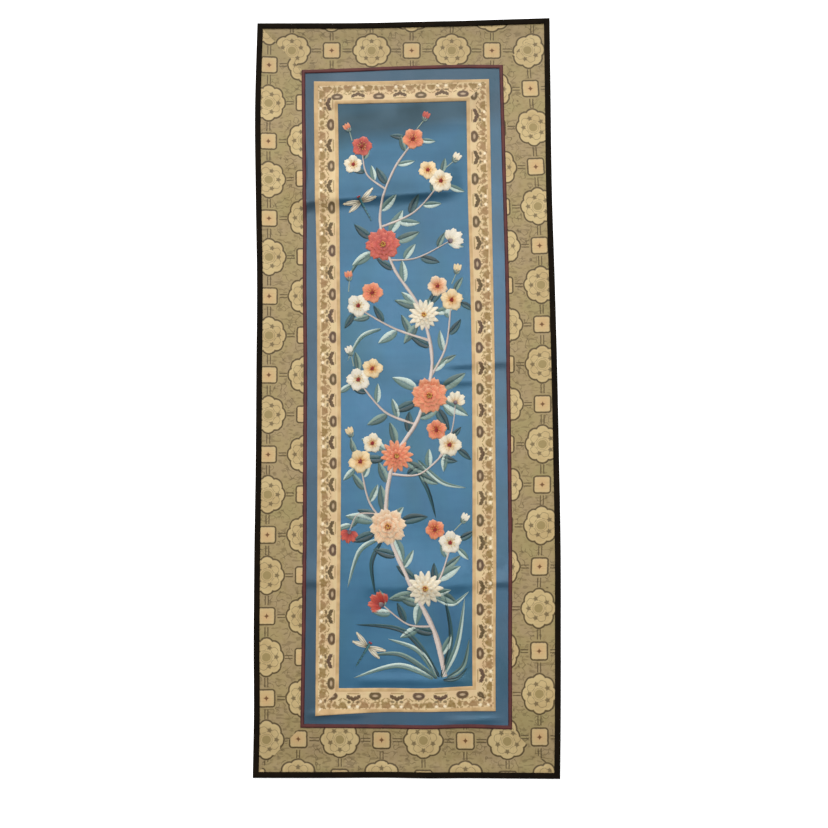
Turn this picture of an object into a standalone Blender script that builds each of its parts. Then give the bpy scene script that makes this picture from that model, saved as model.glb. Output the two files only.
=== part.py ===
"""Embroidered panel: blue satin with a woven ribbon, a brocade border and a dark bound edge.

It lies face up on the XY plane, the top of its design towards +Y, standing on z = 0.
Metres. The origin is under the middle of the panel.
"""
import bpy
import bmesh
from math import cos, pi
from mathutils import Vector

# Where each seam would run if it were straight: half the width and half the length of its rectangle
STRAIGHT = {
    "edge": (0.1500, 0.3800),
    "fillet": (0.0990, 0.3287),
    "ribbon_outer": (0.0890, 0.3175),
    "ribbon_inner": (0.0655, 0.2936),
}

# How far each seam strays outward from there. A row for each station down the panel, from the top
DOWN_COLUMNS = (
    "place",
    "edge_left", "edge_right",
    "fillet_left", "fillet_right",
    "ribbon_outer_left", "ribbon_outer_right",
    "ribbon_inner_left", "ribbon_inner_right",
)
DOWN = (
    (0.380, 0.0009, -0.0009, 0.0025, -0.0026, 0.0031, -0.0034, 0.0023, -0.0026),
    (0.290, 0.0028, -0.0009, 0.0021, -0.0011, 0.0033, -0.0019, 0.0021, -0.0020),
    (0.200, 0.0015, -0.0009, 0.0005, 0.0005, 0.0017, -0.0011, 0.0009, -0.0014),
    (0.110, -0.0003, 0.0007, 0.0005, 0.0020, -0.0001, -0.0001, 0.0001, 0.0004),
    (0.020, -0.0002, 0.0019, -0.0005, 0.0021, -0.0005, 0.0006, -0.0007, 0.0013),
    (-0.070, -0.0001, 0.0025, -0.0003, 0.0024, -0.0009, 0.0004, -0.0010, 0.0010),
    (-0.160, 0.0007, 0.0028, -0.0003, 0.0022, -0.0007, 0.0003, -0.0006, 0.0003),
    (-0.250, 0.0008, 0.0017, 0.0006, 0.0011, 0.0002, -0.0013, 0.0006, -0.0006),
    (-0.320, 0.0002, 0.0006, 0.0015, 0.0004, 0.0005, -0.0019, 0.0012, -0.0007),
    (-0.380, 0.0009, -0.0008, 0.0020, -0.0001, 0.0008, -0.0024, 0.0016, -0.0008),
)

# The same for each station across the panel, from the left
ACROSS_COLUMNS = (
    "place",
    "edge_top", "edge_bottom",
    "fillet_top", "fillet_bottom",
    "ribbon_outer_top", "ribbon_outer_bottom",
    "ribbon_inner_top", "ribbon_inner_bottom",
)
ACROSS = (
    (-0.150, 0.0003, 0.0003, -0.0020, -0.0005, 0.0014, 0.0062, -0.0008, 0.0003),
    (-0.100, -0.0005, 0.0003, -0.0017, -0.0003, 0.0010, 0.0040, -0.0006, 0.0003),
    (-0.060, -0.0012, 0.0001, -0.0010, -0.0001, 0.0002, 0.0011, -0.0003, 0.0003),
    (-0.020, -0.0012, -0.0002, 0.0001, 0.0002, 0.0000, -0.0006, -0.0002, 0.0000),
    (0.020, -0.0009, 0.0003, 0.0008, 0.0009, 0.0006, -0.0006, 0.0002, 0.0005),
    (0.060, -0.0007, 0.0001, 0.0010, -0.0002, 0.0002, -0.0015, 0.0008, -0.0016),
    (0.100, -0.0001, 0.0003, 0.0002, 0.0010, 0.0005, -0.0015, 0.0010, -0.0025),
    (0.150, 0.0006, 0.0005, -0.0004, 0.0012, 0.0008, -0.0015, 0.0012, -0.0030),
)

# Creases left by folding and rolling. A row for each, with where it runs at the panel's two sides,
# the stretch where it stands up, its height and half its width
CREASE_COLUMNS = ("y_left", "y_right", "x_from", "x_to", "height", "half_width")
CREASES = (
    (0.270, 0.281, -0.090, 0.092, 0.0011, 0.011),
    (0.196, 0.194, -0.190, 0.190, 0.0016, 0.012),
    (0.014, 0.029, 0.030, 0.135, 0.0012, 0.010),
    (0.012, 0.006, -0.004, 0.082, 0.0011, 0.009),
    (-0.194, -0.200, -0.190, 0.190, 0.0018, 0.013),
    (-0.289, -0.287, -0.052, 0.058, 0.0008, 0.008),
)
CREASE_FADE = 0.026

# Thicknesses and widths
CLOTH = 0.0010
GAP = 0.0003
BINDING_WIDTH = 0.0050
FILLET_WIDTH = 0.0038

# The border climbs over the binding's back leg near the edge, then comes down to the surface
LIFT = CLOTH + GAP
LIFT_TOP = 0.0062
LIFT_FOOT = 0.0180

# Spacing of the mesh lines: rows are closer together over a crease
FINE_ROW = 0.005
COARSE_ROW = 0.028
COLUMN = 0.030
SATIN_COLUMNS = 14
RIBBON_STEPS = (0.0, 0.25, 0.5, 0.75, 1.0)
FILLET_STEPS = (0.0, 1.0)
BROCADE_STEPS = (0.0, 0.10, 0.19, 0.27, 0.35, 0.66, 1.0)

# The binding's cross-section, a C open towards the panel: distance in from the edge, and height
LEG_TOP = LIFT + CLOTH + GAP
BINDING_TOP = LEG_TOP + CLOTH
BINDING_SECTION = (
    (BINDING_WIDTH, 0.0),
    (0.0006, 0.0),
    (0.0, 0.0008),
    (0.0, BINDING_TOP - 0.0008),
    (0.0006, BINDING_TOP),
    (BINDING_WIDTH, BINDING_TOP),
    (BINDING_WIDTH, LEG_TOP),
    (CLOTH, LEG_TOP),
    (CLOTH, CLOTH),
    (BINDING_WIDTH, CLOTH),
)

COLOURS = {
    "satin": (0.082, 0.226, 0.381),
    "ribbon": (0.68, 0.53, 0.30),
    "fillet": (0.147, 0.042, 0.048),
    "brocade": (0.434, 0.323, 0.168),
    "binding": (0.007, 0.007, 0.006),
}
ROUGHNESS = {"satin": 0.42, "ribbon": 0.62, "fillet": 0.60, "brocade": 0.58, "binding": 0.70}

SIDES = ("top", "right", "bottom", "left")
OUTWARD = {"top": 1, "right": 1, "bottom": -1, "left": -1}


def records(columns, rows):
    """Give each row of a table its column names."""
    return [dict(zip(columns, row)) for row in rows]


DOWN_ROWS = records(DOWN_COLUMNS, reversed(DOWN))
ACROSS_ROWS = records(ACROSS_COLUMNS, ACROSS)
CREASE_ROWS = records(CREASE_COLUMNS, CREASES)


def smooth(rows, column, place):
    """Read a column between its stations, on a smooth curve through them."""
    places = [row["place"] for row in rows]
    last = len(rows) - 2
    spot = sum(1 for station in places[1:-1] if place > station)
    before, start, end, after = (rows[min(max(spot + step, 0), last + 1)] for step in (-1, 0, 1, 2))
    span = end["place"] - start["place"]
    t = min(max((place - start["place"]) / span, 0.0), 1.0)
    leave = (end[column] - before[column]) / (end["place"] - before["place"]) * span
    arrive = (after[column] - start[column]) / (after["place"] - start["place"]) * span
    rise = end[column] - start[column]
    return start[column] + t * leave + t * t * (3 * rise - 2 * leave - arrive) + t ** 3 * (leave + arrive - 2 * rise)


def seam(side, line, along):
    """Where one side of a seam runs: its x or y, at a place along that side.

    A line is a seam's name and how far outward from it the line runs.
    """
    name, outward = line
    half_width, half_length = STRAIGHT[name]
    if side in ("left", "right"):
        stray = smooth(DOWN_ROWS, f"{name}_{side}", along)
        return OUTWARD[side] * (half_width + stray + outward)
    stray = smooth(ACROSS_ROWS, f"{name}_{side}", along)
    return OUTWARD[side] * (half_length + stray + outward)


def corner(line, side, end):
    """Where a seam's left or right side meets its top or bottom."""
    y = OUTWARD[end] * STRAIGHT[line[0]][1]
    for _ in range(4):
        x = seam(side, line, y)
        y = seam(end, line, x)
    return Vector((x, y))


def crease_height(x, y):
    """Height of the cloth's underside over the surface where a crease lifts it."""
    height = 0.0
    for crease in CREASE_ROWS:
        slant = (crease["y_right"] - crease["y_left"]) / (2 * STRAIGHT["edge"][0])
        middle = (crease["y_left"] + crease["y_right"]) / 2 + slant * x
        away = abs(y - middle) / crease["half_width"]
        inside = min(x - crease["x_from"], crease["x_to"] - x) / CREASE_FADE
        if away < 1 and inside > 0:
            fade = (1 - cos(pi * min(inside, 1.0))) / 2
            height += crease["height"] * fade * (1 + cos(pi * away)) / 2
    return height


def edge_lift(x, y):
    """Height that the border gains near the panel's edge, over the binding's back leg."""
    edge = ("edge", 0.0)
    inward = min(
        seam("right", edge, y) - x,
        x - seam("left", edge, y),
        seam("top", edge, x) - y,
        y - seam("bottom", edge, x),
    )
    fall = min(max((inward - LIFT_TOP) / (LIFT_FOOT - LIFT_TOP), 0.0), 1.0)
    return LIFT * (1 + cos(pi * fall)) / 2


def row_lines():
    """Lines across the whole panel, close together over the creases."""
    lines = [-STRAIGHT["edge"][1]]
    while lines[-1] < STRAIGHT["edge"][1]:
        near = any(
            min(crease["y_left"], crease["y_right"]) - crease["half_width"] - FINE_ROW < lines[-1]
            < max(crease["y_left"], crease["y_right"]) + crease["half_width"]
            for crease in CREASE_ROWS
        )
        ahead = [
            min(crease["y_left"], crease["y_right"]) - crease["half_width"] for crease in CREASE_ROWS
        ]
        step = FINE_ROW if near else COARSE_ROW
        stops = [start for start in ahead if lines[-1] < start < lines[-1] + step]
        lines.append(min(stops, default=lines[-1] + step))
    return lines


ROWS = row_lines()
COLUMNS = [COLUMN * step for step in range(-5, 6)]


def material(slot):
    """A plain material in the colour of one kind of cloth."""
    made = bpy.data.materials.new(slot)
    made.use_nodes = True
    shader = made.node_tree.nodes["Principled BSDF"]
    shader.inputs["Base Color"].default_value = (*COLOURS[slot], 1.0)
    shader.inputs["Roughness"].default_value = ROUGHNESS[slot]
    shader.inputs["Metallic"].default_value = 0.0
    made.diffuse_color = (*COLOURS[slot], 1.0)
    return made


def finish(name, solid, slot):
    """Close a bmesh into an object of the panel's collection."""
    bmesh.ops.recalc_face_normals(solid, faces=solid.faces[:])
    mesh = bpy.data.meshes.new(name)
    solid.to_mesh(mesh)
    solid.free()
    mesh.materials.append(MATERIALS[slot])
    made = bpy.data.objects.new(name, mesh)
    PANEL.objects.link(made)
    made.parent = ORIGIN


def grid(place, rows, columns):
    """A grid whose vertices are put where place says, by their row and column."""
    made = bmesh.new()
    bmesh.ops.create_grid(made, x_segments=columns, y_segments=rows, size=1.0)
    for vertex in made.verts:
        column = round((vertex.co.x + 1) / 2 * columns)
        row = round((vertex.co.y + 1) / 2 * rows)
        vertex.co = place(row, column)
    return made


def thicken(sheet, thickness):
    """Make a sheet a closed solid that stands straight up from it."""
    raised = bmesh.ops.extrude_face_region(sheet, geom=sheet.faces[:])["geom"]
    tops = [part for part in raised if isinstance(part, bmesh.types.BMVert)]
    bmesh.ops.translate(sheet, verts=tops, vec=(0.0, 0.0, thickness))


def stations(side, inner):
    """Places of the mesh lines along one side, between the mitres of its inner line."""
    upright = side in ("left", "right")
    lines = ROWS if upright else COLUMNS
    axis = 1 if upright else 0
    ends = ("bottom", "top") if upright else ("left", "right")
    limits = []
    for end in ends:
        where = corner(inner, side, end) if upright else corner(inner, end, side)
        limits.append(where[axis])
    margin = FINE_ROW / 2
    return [line for line in lines if limits[0] + margin < line < limits[1] - margin]


def strip_point(side, outer, inner, lines, row, fraction):
    """A point of a strip: between its outer and inner lines, mitred where it meets its neighbours."""
    upright = side in ("left", "right")
    ends = ("bottom", "top") if upright else ("left", "right")
    if 0 < row <= len(lines):
        along = lines[row - 1]
        across = (1 - fraction) * seam(side, outer, along) + fraction * seam(side, inner, along)
        return (across, along) if upright else (along, across)
    end = ends[0] if row == 0 else ends[1]
    pair = (side, end) if upright else (end, side)
    place = corner(outer, *pair).lerp(corner(inner, *pair), fraction)
    place[1 if upright else 0] -= OUTWARD[end] * GAP * 2 ** 0.5 / 2
    return place[0], place[1]


def strip(name, side, outer, inner, steps, above, slot):
    """One flat strip of a border, from a mitre to the next, at a height over what it lies on."""
    lines = stations(side, inner)

    def place(row, column):
        x, y = strip_point(side, outer, inner, lines, row, steps[column])
        return Vector((x, y, crease_height(x, y) + above(x, y)))

    sheet = grid(place, len(lines) + 1, len(steps) - 1)
    thicken(sheet, CLOTH)
    finish(name, sheet, slot)


def binding(side):
    """One strip of the dark binding, folded round the edge and sewn down on both faces."""
    outer = ("edge", 0.0)
    inner = ("edge", -BINDING_WIDTH)
    lines = stations(side, inner)

    def place(row, column):
        inset, height = BINDING_SECTION[column % len(BINDING_SECTION)]
        x, y = strip_point(side, outer, inner, lines, row, inset / BINDING_WIDTH)
        return Vector((x, y, crease_height(x, y) + height))

    tube = grid(place, len(lines) + 1, len(BINDING_SECTION))
    bmesh.ops.remove_doubles(tube, verts=tube.verts[:], dist=0.000001)
    ends = [edge for edge in tube.edges if edge.is_boundary]
    bmesh.ops.holes_fill(tube, edges=ends, sides=len(BINDING_SECTION))
    finish(f"binding_{side}", tube, "binding")


def satin_ground():
    """The blue satin, cut to reach under the middle of the fillet all round."""
    line = ("fillet", FILLET_WIDTH / 2 - GAP / 2)
    lines = stations("left", line)

    def place(row, column):
        share = column / SATIN_COLUMNS
        if 0 < row <= len(lines):
            y = lines[row - 1]
            x = (1 - share) * seam("left", line, y) + share * seam("right", line, y)
        else:
            end = "bottom" if row == 0 else "top"
            ends = [corner(line, side, end) for side in ("left", "right")]
            x = (1 - share) * ends[0].x + share * ends[1].x
            y = seam(end, line, x)
        return Vector((x, y, crease_height(x, y)))

    sheet = grid(place, len(lines) + 1, SATIN_COLUMNS)
    thicken(sheet, CLOTH)
    finish("satin_ground", sheet, "satin")


def over_ground(x, y):
    """Height of what is sewn on top of the satin or the brocade."""
    return CLOTH + GAP


def build():
    """Lay out every piece of the panel."""
    satin_ground()
    for side in SIDES:
        strip(f"ribbon_{side}", side, ("ribbon_outer", 0.0), ("ribbon_inner", 0.0),
              RIBBON_STEPS, over_ground, "ribbon")
        strip(f"fillet_{side}", side, ("fillet", FILLET_WIDTH), ("fillet", 0.0),
              FILLET_STEPS, over_ground, "fillet")
        strip(f"brocade_{side}", side, ("edge", -CLOTH - GAP), ("fillet", FILLET_WIDTH / 2 + GAP / 2),
              BROCADE_STEPS, edge_lift, "brocade")
        binding(side)


for old in list(bpy.data.objects):
    bpy.data.objects.remove(old, do_unlink=True)

PANEL = bpy.data.collections.new("embroidered_panel")
bpy.context.scene.collection.children.link(PANEL)
ORIGIN = bpy.data.objects.new("panel_origin", None)
PANEL.objects.link(ORIGIN)
MATERIALS = {slot: material(slot) for slot in COLOURS}
build()
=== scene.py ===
"""The looks of an embroidered panel that lies face up: blue satin worked in silk, a woven ribbon,
a maroon fillet, a brocade border and a dark bound edge. The top of the design is towards +Y. Metres.
"""
from functools import lru_cache, partial
from itertools import cycle
from math import atan2, ceil, cos, exp, hypot, pi, radians, sin, sqrt
from random import Random

import bmesh
import bpy
from mathutils import Matrix, Quaternion, Vector, noise


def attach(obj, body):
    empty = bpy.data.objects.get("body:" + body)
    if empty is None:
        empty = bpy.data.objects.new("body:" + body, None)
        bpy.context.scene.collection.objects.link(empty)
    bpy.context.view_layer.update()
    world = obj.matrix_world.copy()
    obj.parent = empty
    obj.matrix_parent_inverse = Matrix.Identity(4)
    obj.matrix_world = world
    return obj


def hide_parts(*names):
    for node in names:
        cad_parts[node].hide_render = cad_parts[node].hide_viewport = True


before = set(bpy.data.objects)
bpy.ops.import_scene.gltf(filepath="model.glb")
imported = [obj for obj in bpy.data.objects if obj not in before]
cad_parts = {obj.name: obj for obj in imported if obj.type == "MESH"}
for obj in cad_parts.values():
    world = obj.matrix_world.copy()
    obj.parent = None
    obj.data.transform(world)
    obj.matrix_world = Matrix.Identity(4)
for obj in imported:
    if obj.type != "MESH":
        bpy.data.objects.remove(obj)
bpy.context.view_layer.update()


# Satin ground
# One length of blue silk satin, its warp running down the panel, cut to reach under the middle of
# the fillet all round. It lies loose on the surface, with the creases of years of rolling and folding.

# Where each seam would run if it were straight: half the width and half the length of its rectangle
STRAIGHT = {
    "edge": (0.1500, 0.3800),
    "fillet": (0.0990, 0.3287),
    "ribbon_outer": (0.0890, 0.3175),
    "ribbon_inner": (0.0655, 0.2936),
}

# How far each seam strays outward from there. A row for each station down the panel, from the top
DOWN_COLUMNS = (
    "place",
    "edge_left", "edge_right",
    "fillet_left", "fillet_right",
    "ribbon_outer_left", "ribbon_outer_right",
    "ribbon_inner_left", "ribbon_inner_right",
)
DOWN = (
    (0.380, 0.0009, -0.0009, 0.0025, -0.0026, 0.0031, -0.0034, 0.0023, -0.0026),
    (0.290, 0.0028, -0.0009, 0.0021, -0.0011, 0.0033, -0.0019, 0.0021, -0.0020),
    (0.200, 0.0015, -0.0009, 0.0005, 0.0005, 0.0017, -0.0011, 0.0009, -0.0014),
    (0.110, -0.0003, 0.0007, 0.0005, 0.0020, -0.0001, -0.0001, 0.0001, 0.0004),
    (0.020, -0.0002, 0.0019, -0.0005, 0.0021, -0.0005, 0.0006, -0.0007, 0.0013),
    (-0.070, -0.0001, 0.0025, -0.0003, 0.0024, -0.0009, 0.0004, -0.0010, 0.0010),
    (-0.160, 0.0007, 0.0028, -0.0003, 0.0022, -0.0007, 0.0003, -0.0006, 0.0003),
    (-0.250, 0.0008, 0.0017, 0.0006, 0.0011, 0.0002, -0.0013, 0.0006, -0.0006),
    (-0.320, 0.0002, 0.0006, 0.0015, 0.0004, 0.0005, -0.0019, 0.0012, -0.0007),
    (-0.380, 0.0009, -0.0008, 0.0020, -0.0001, 0.0008, -0.0024, 0.0016, -0.0008),
)

# The same for each station across the panel, from the left
ACROSS_COLUMNS = (
    "place",
    "edge_top", "edge_bottom",
    "fillet_top", "fillet_bottom",
    "ribbon_outer_top", "ribbon_outer_bottom",
    "ribbon_inner_top", "ribbon_inner_bottom",
)
ACROSS = (
    (-0.150, 0.0003, 0.0003, -0.0020, -0.0005, 0.0014, 0.0062, -0.0008, 0.0003),
    (-0.100, -0.0005, 0.0003, -0.0017, -0.0003, 0.0010, 0.0040, -0.0006, 0.0003),
    (-0.060, -0.0012, 0.0001, -0.0010, -0.0001, 0.0002, 0.0011, -0.0003, 0.0003),
    (-0.020, -0.0012, -0.0002, 0.0001, 0.0002, 0.0000, -0.0006, -0.0002, 0.0000),
    (0.020, -0.0009, 0.0003, 0.0008, 0.0009, 0.0006, -0.0006, 0.0002, 0.0005),
    (0.060, -0.0007, 0.0001, 0.0010, -0.0002, 0.0002, -0.0015, 0.0008, -0.0016),
    (0.100, -0.0001, 0.0003, 0.0002, 0.0010, 0.0005, -0.0015, 0.0010, -0.0025),
    (0.150, 0.0006, 0.0005, -0.0004, 0.0012, 0.0008, -0.0015, 0.0012, -0.0030),
)

# Creases: where each runs at the panel's two sides, the stretch where it stands up, its height, how
# wide it is above and below its crest, how far the crest wanders, and how it falls below the crest (1 as
# an even slope, more as a steep start that eases off)
CREASE_COLUMNS = ("y_left", "y_right", "x_from", "x_to", "height", "above", "below", "wander", "fall")
CREASES = (
    (0.2925, 0.2985, -0.090, 0.090, 0.0034, 0.016, 0.024, 0.0020, 1.3),
    (0.1885, 0.2085, -0.128, 0.064, 0.0044, 0.046, 0.014, 0.0030, 2.0),
    (0.014, 0.029, 0.030, 0.135, 0.0015, 0.018, 0.008, 0.0010, 2.0),
    (0.012, 0.006, -0.004, 0.082, 0.0013, 0.015, 0.007, 0.0010, 2.0),
    (-0.1900, -0.194, -0.128, -0.062, 0.0010, 0.030, 0.007, 0.0020, 2.0),
    (-0.197, -0.196, -0.050, 0.078, 0.0021, 0.052, 0.013, 0.0050, 1.7),
    (-0.192, -0.193, 0.060, 0.122, 0.0013, 0.016, 0.005, 0.0008, 2.0),
    (-0.287, -0.289, -0.060, 0.070, 0.0008, 0.012, 0.006, 0.0010, 2.0),
    (-0.321, -0.317, -0.105, -0.030, 0.0010, 0.006, 0.005, 0.0020, 2.0),
    (-0.324, -0.325, 0.030, 0.100, 0.0008, 0.005, 0.005, 0.0020, 2.0),
)
CREASE_FADE = 0.026
CREASE_REACH = 0.110
WANDER_LENGTH = 0.034
WANDER_CHANGE = 50
UNEVEN = 0.30
UNEVEN_LENGTH = 0.030
UNEVEN_CHANGE = 70

# The brocade is stiffer than the satin, so a crease eases off more gently there
STIFF_FROM = 0.097
STIFF_OVER = 0.012
STIFFER = 1.6

# How far loose cloth stands off the surface, and its swells: their height and their size each way
LOOSE = 0.00040
BROAD_SWELL = (0.00042, 0.052, 0.070)
SMALL_SWELL = (0.00011, 0.015, 0.019)

CLOTH = 0.0010
FILLET_WIDTH = 0.0038
SATIN_EDGE = ("fillet", FILLET_WIDTH / 2)
SATIN_STEP = 0.0023
SATIN_BACK_STEPS = 10

# Which way each side faces from the middle, and the axis that it runs along
OUTWARD = {"top": 1, "right": 1, "bottom": -1, "left": -1}
AXIS = {"top": 0, "right": 1, "bottom": 0, "left": 1}
SIDES = tuple(OUTWARD)


def records(columns, rows):
    """Give each row of a table its column names."""
    return [dict(zip(columns, row)) for row in rows]


DOWN_ROWS = records(DOWN_COLUMNS, reversed(DOWN))
ACROSS_ROWS = records(ACROSS_COLUMNS, ACROSS)
CREASE_ROWS = records(CREASE_COLUMNS, CREASES)


def smooth(rows, column, place):
    """Read a column between its stations, on a smooth curve through them."""
    places = [row["place"] for row in rows]
    last = len(rows) - 2
    spot = sum(1 for station in places[1:-1] if place > station)
    before, start, end, after = (rows[min(max(spot + step, 0), last + 1)] for step in (-1, 0, 1, 2))
    span = end["place"] - start["place"]
    t = min(max((place - start["place"]) / span, 0.0), 1.0)
    leave = (end[column] - before[column]) / (end["place"] - before["place"]) * span
    arrive = (after[column] - start[column]) / (after["place"] - start["place"]) * span
    rise = end[column] - start[column]
    bend = 3 * rise - 2 * leave - arrive
    return start[column] + t * leave + t * t * bend + t ** 3 * (leave + arrive - 2 * rise)


@lru_cache(maxsize=None)
def seam(side, line, along):
    """Where one side of a seam runs: its x or y, at a place along that side.

    A line is a seam's name and how far outward from it the line runs.
    """
    name, outward = line
    stray = smooth((ACROSS_ROWS, DOWN_ROWS)[AXIS[side]], f"{name}_{side}", along)
    return OUTWARD[side] * (STRAIGHT[name][1 - AXIS[side]] + stray + outward)


@lru_cache(maxsize=None)
def corner(line, side, end):
    """Where a seam's left or right side meets its top or bottom."""
    y = OUTWARD[end] * STRAIGHT[line[0]][1]
    for _ in range(4):
        x = seam(side, line, y)
        y = seam(end, line, x)
    return Vector((x, y))


def crease_height(x, y):
    """Height of the cloth over the surface where a crease lifts it, steeper below its crest."""
    height = 0.0
    for crease in CREASE_ROWS:
        slant = (crease["y_right"] - crease["y_left"]) / (2 * STRAIGHT["edge"][0])
        crest = (crease["y_left"] + crease["y_right"]) / 2 + slant * x
        if abs(y - crest) > CREASE_REACH:
            continue
        crest += crease["wander"] * noise.noise(Vector((x / WANDER_LENGTH, crest * WANDER_CHANGE, 0.0)))
        ease = 1 + STIFFER * min(max((abs(x) - STIFF_FROM) / STIFF_OVER, 0.0), 1.0)
        uneven = 1 + UNEVEN * noise.noise(Vector((x / UNEVEN_LENGTH, crest * UNEVEN_CHANGE, 5.0)))
        above = (y - crest) / (crease["above"] * ease)
        below = (crest - y) / (crease["below"] * ease * uneven)
        inside = min(x - crease["x_from"], crease["x_to"] - x) / CREASE_FADE
        if max(above, below) < 1 and inside > 0:
            fade = (1 - cos(pi * min(inside, 1.0))) / 2
            bump = (1 + cos(pi * above)) / 2 if above > 0 else (1 - below) ** crease["fall"]
            height += crease["height"] * fade * bump
    return height


def swell(x, y, shape, layer):
    """The height of one set of swells. Each set has a layer of the noise to itself."""
    height, wide, long = shape
    return height * noise.noise(Vector((x / wide, y / long, layer)))


def ripple(x, y):
    """The slight unevenness of cloth that lies loose: broad swells and smaller ones over them."""
    return LOOSE + swell(x, y, BROAD_SWELL, 3.0) + swell(x, y, SMALL_SWELL, 7.0)


def ground(x, y):
    """Height of the underside of the satin and the brocade over the surface."""
    return max(0.0, crease_height(x, y) + ripple(x, y))


def satin_top(x, y):
    """Height of the satin's face, on which all else is sewn."""
    return ground(x, y) + CLOTH


SAME_POINT = 0.000001
SHARP = radians(50)


def wrapped(name, rows, section, place):
    """A closed strip of cloth: a section for each row, carried along and filled in at its two ends.

    place gives a vertex's point and its spot on the cloth, by its row and its step round the section.
    """
    strip = bmesh.new()
    bmesh.ops.create_grid(strip, x_segments=section, y_segments=rows, size=1.0)
    cloth = strip.loops.layers.uv.new("cloth")
    spots = {}
    for vertex in strip.verts:
        step = round((vertex.co.x + 1) / 2 * section) % section
        row = round((vertex.co.y + 1) / 2 * rows)
        vertex.co, spots[vertex] = place(row, step)
    for face in strip.faces:
        for loop in face.loops:
            loop[cloth].uv = spots[loop.vert]
    bmesh.ops.remove_doubles(strip, verts=strip.verts[:], dist=SAME_POINT)
    ends = [edge for edge in strip.edges if edge.is_boundary]
    bmesh.ops.holes_fill(strip, edges=ends, sides=0)
    bmesh.ops.recalc_face_normals(strip, faces=strip.faces[:])
    return settle(name, strip)


def settle(name, solid):
    """Close a bmesh into an object, smooth but for its sharp edges."""
    for face in solid.faces:
        face.smooth = True
    for edge in solid.edges:
        edge.smooth = len(edge.link_faces) == 2 and edge.calc_face_angle(0.0) < SHARP
    mesh = bpy.data.meshes.new(name)
    solid.to_mesh(mesh)
    solid.free()
    made = bpy.data.objects.new(name, mesh)
    bpy.context.scene.collection.objects.link(made)
    return made


def satin_ground():
    """The sheet of satin: its face in fine steps, its back in coarse ones."""
    columns = ceil(2 * STRAIGHT["fillet"][0] / SATIN_STEP)
    rows = ceil(2 * STRAIGHT["fillet"][1] / SATIN_STEP)
    face = [(step / columns, CLOTH) for step in range(columns + 1)]
    back = [(1 - step / SATIN_BACK_STEPS, 0.0) for step in range(SATIN_BACK_STEPS + 1)]
    section = face + back
    foot, head = (
        [corner(SATIN_EDGE, side, end) for side in ("left", "right")]
        for end in ("bottom", "top")
    )

    def place(row, step):
        """A point of the satin, which shares out the straying of its four seams."""
        share, height = section[step]
        rise = row / rows
        low = foot[0].lerp(foot[1], share)
        high = head[0].lerp(head[1], share)
        y = (1 - rise) * seam("bottom", SATIN_EDGE, low.x) + rise * seam("top", SATIN_EDGE, high.x)
        x = (1 - share) * seam("left", SATIN_EDGE, y) + share * seam("right", SATIN_EDGE, y)
        return (x, y, ground(x, y) + height), (x, y)

    return wrapped("satin_ground_cloth", rows, len(section), place)


def dye(code):
    """A colour from its six hexadecimal digits, as the shaders take it."""
    shares = (int(code[spot:spot + 2], 16) / 255 for spot in (0, 2, 4))
    return tuple(s / 12.92 if s <= 0.04045 else ((s + 0.055) / 1.055) ** 2.4 for s in shares)


class Measure:
    """A number that changes over the cloth, worked out by Math nodes from ordinary arithmetic."""

    def __init__(self, tree, socket):
        """Keep where the number comes from."""
        self.tree = tree
        self.socket = socket

    def math(self, operation, *others, clamp=False):
        """The outcome of one Math node on this number and others."""
        node = self.tree.nodes.new("ShaderNodeMath")
        node.operation = operation
        node.use_clamp = clamp
        for slot, value in zip(node.inputs, (self, *others)):
            if isinstance(value, Measure):
                self.tree.links.new(value.socket, slot)
            else:
                slot.default_value = value
        return Measure(self.tree, node.outputs[0])

    def __add__(self, other):
        """This number and another together."""
        return self.math("ADD", other)

    def __sub__(self, other):
        """This number less another."""
        return self.math("SUBTRACT", other)

    def __mul__(self, other):
        """This number times another."""
        return self.math("MULTIPLY", other)

    def __truediv__(self, other):
        """This number divided by another."""
        return self.math("DIVIDE", other)

    def size(self):
        """This number without its sign."""
        return self.math("ABSOLUTE")

    def rising(self, low, high):
        """0 up to low, 1 from high on."""
        return (self - low).math("MULTIPLY", 1 / (high - low), clamp=True)

    def within(self, half, soft):
        """1 where it is under half in size, 0 elsewhere, with a soft border."""
        return self.size().rising(half + soft, half - soft)

    def inside(self, soft):
        """1 where it is below zero, with a soft border."""
        return self.rising(soft, -soft)


def length(first, second):
    """The distance that two measures at right angles make together."""
    return (first * first + second * second).math("SQRT")


def any_of(first, *others):
    """The strongest of several masks."""
    for other in others:
        first = first.math("MAXIMUM", other)
    return first


def blend(tree, share, under, over):
    """Lay one colour over another, by a share that changes over the cloth."""
    node = tree.nodes.new("ShaderNodeMix")
    node.data_type = "RGBA"
    tree.links.new(share.socket, node.inputs[0])
    for slot, colour in ((6, under), (7, over)):
        if isinstance(colour, bpy.types.NodeSocket):
            tree.links.new(colour, node.inputs[slot])
        else:
            node.inputs[slot].default_value = (*colour, 1.0)
    return node.outputs[2]


def layered(tree, colour, *layers):
    """Lay colours one over another, each with its own share."""
    for share, over in layers:
        colour = blend(tree, share, colour, over)
    return colour


def patches(tree, scale, detail, stretch=(1.0, 1.0, 1.0), layer=None):
    """Cloudy patches between 0 and 1, from the piece's own place or its cloth's."""
    if layer:
        place = tree.nodes.new("ShaderNodeUVMap")
        place.uv_map = layer
        spot = place.outputs[0]
    else:
        spot = tree.nodes.new("ShaderNodeTexCoord").outputs["Object"]
    mapping = tree.nodes.new("ShaderNodeMapping")
    mapping.inputs["Scale"].default_value = stretch
    tree.links.new(spot, mapping.inputs["Vector"])
    cloud = tree.nodes.new("ShaderNodeTexNoise")
    cloud.inputs["Scale"].default_value = scale
    cloud.inputs["Detail"].default_value = detail
    tree.links.new(mapping.outputs[0], cloud.inputs["Vector"])
    return Measure(tree, cloud.outputs["Fac"])


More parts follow.
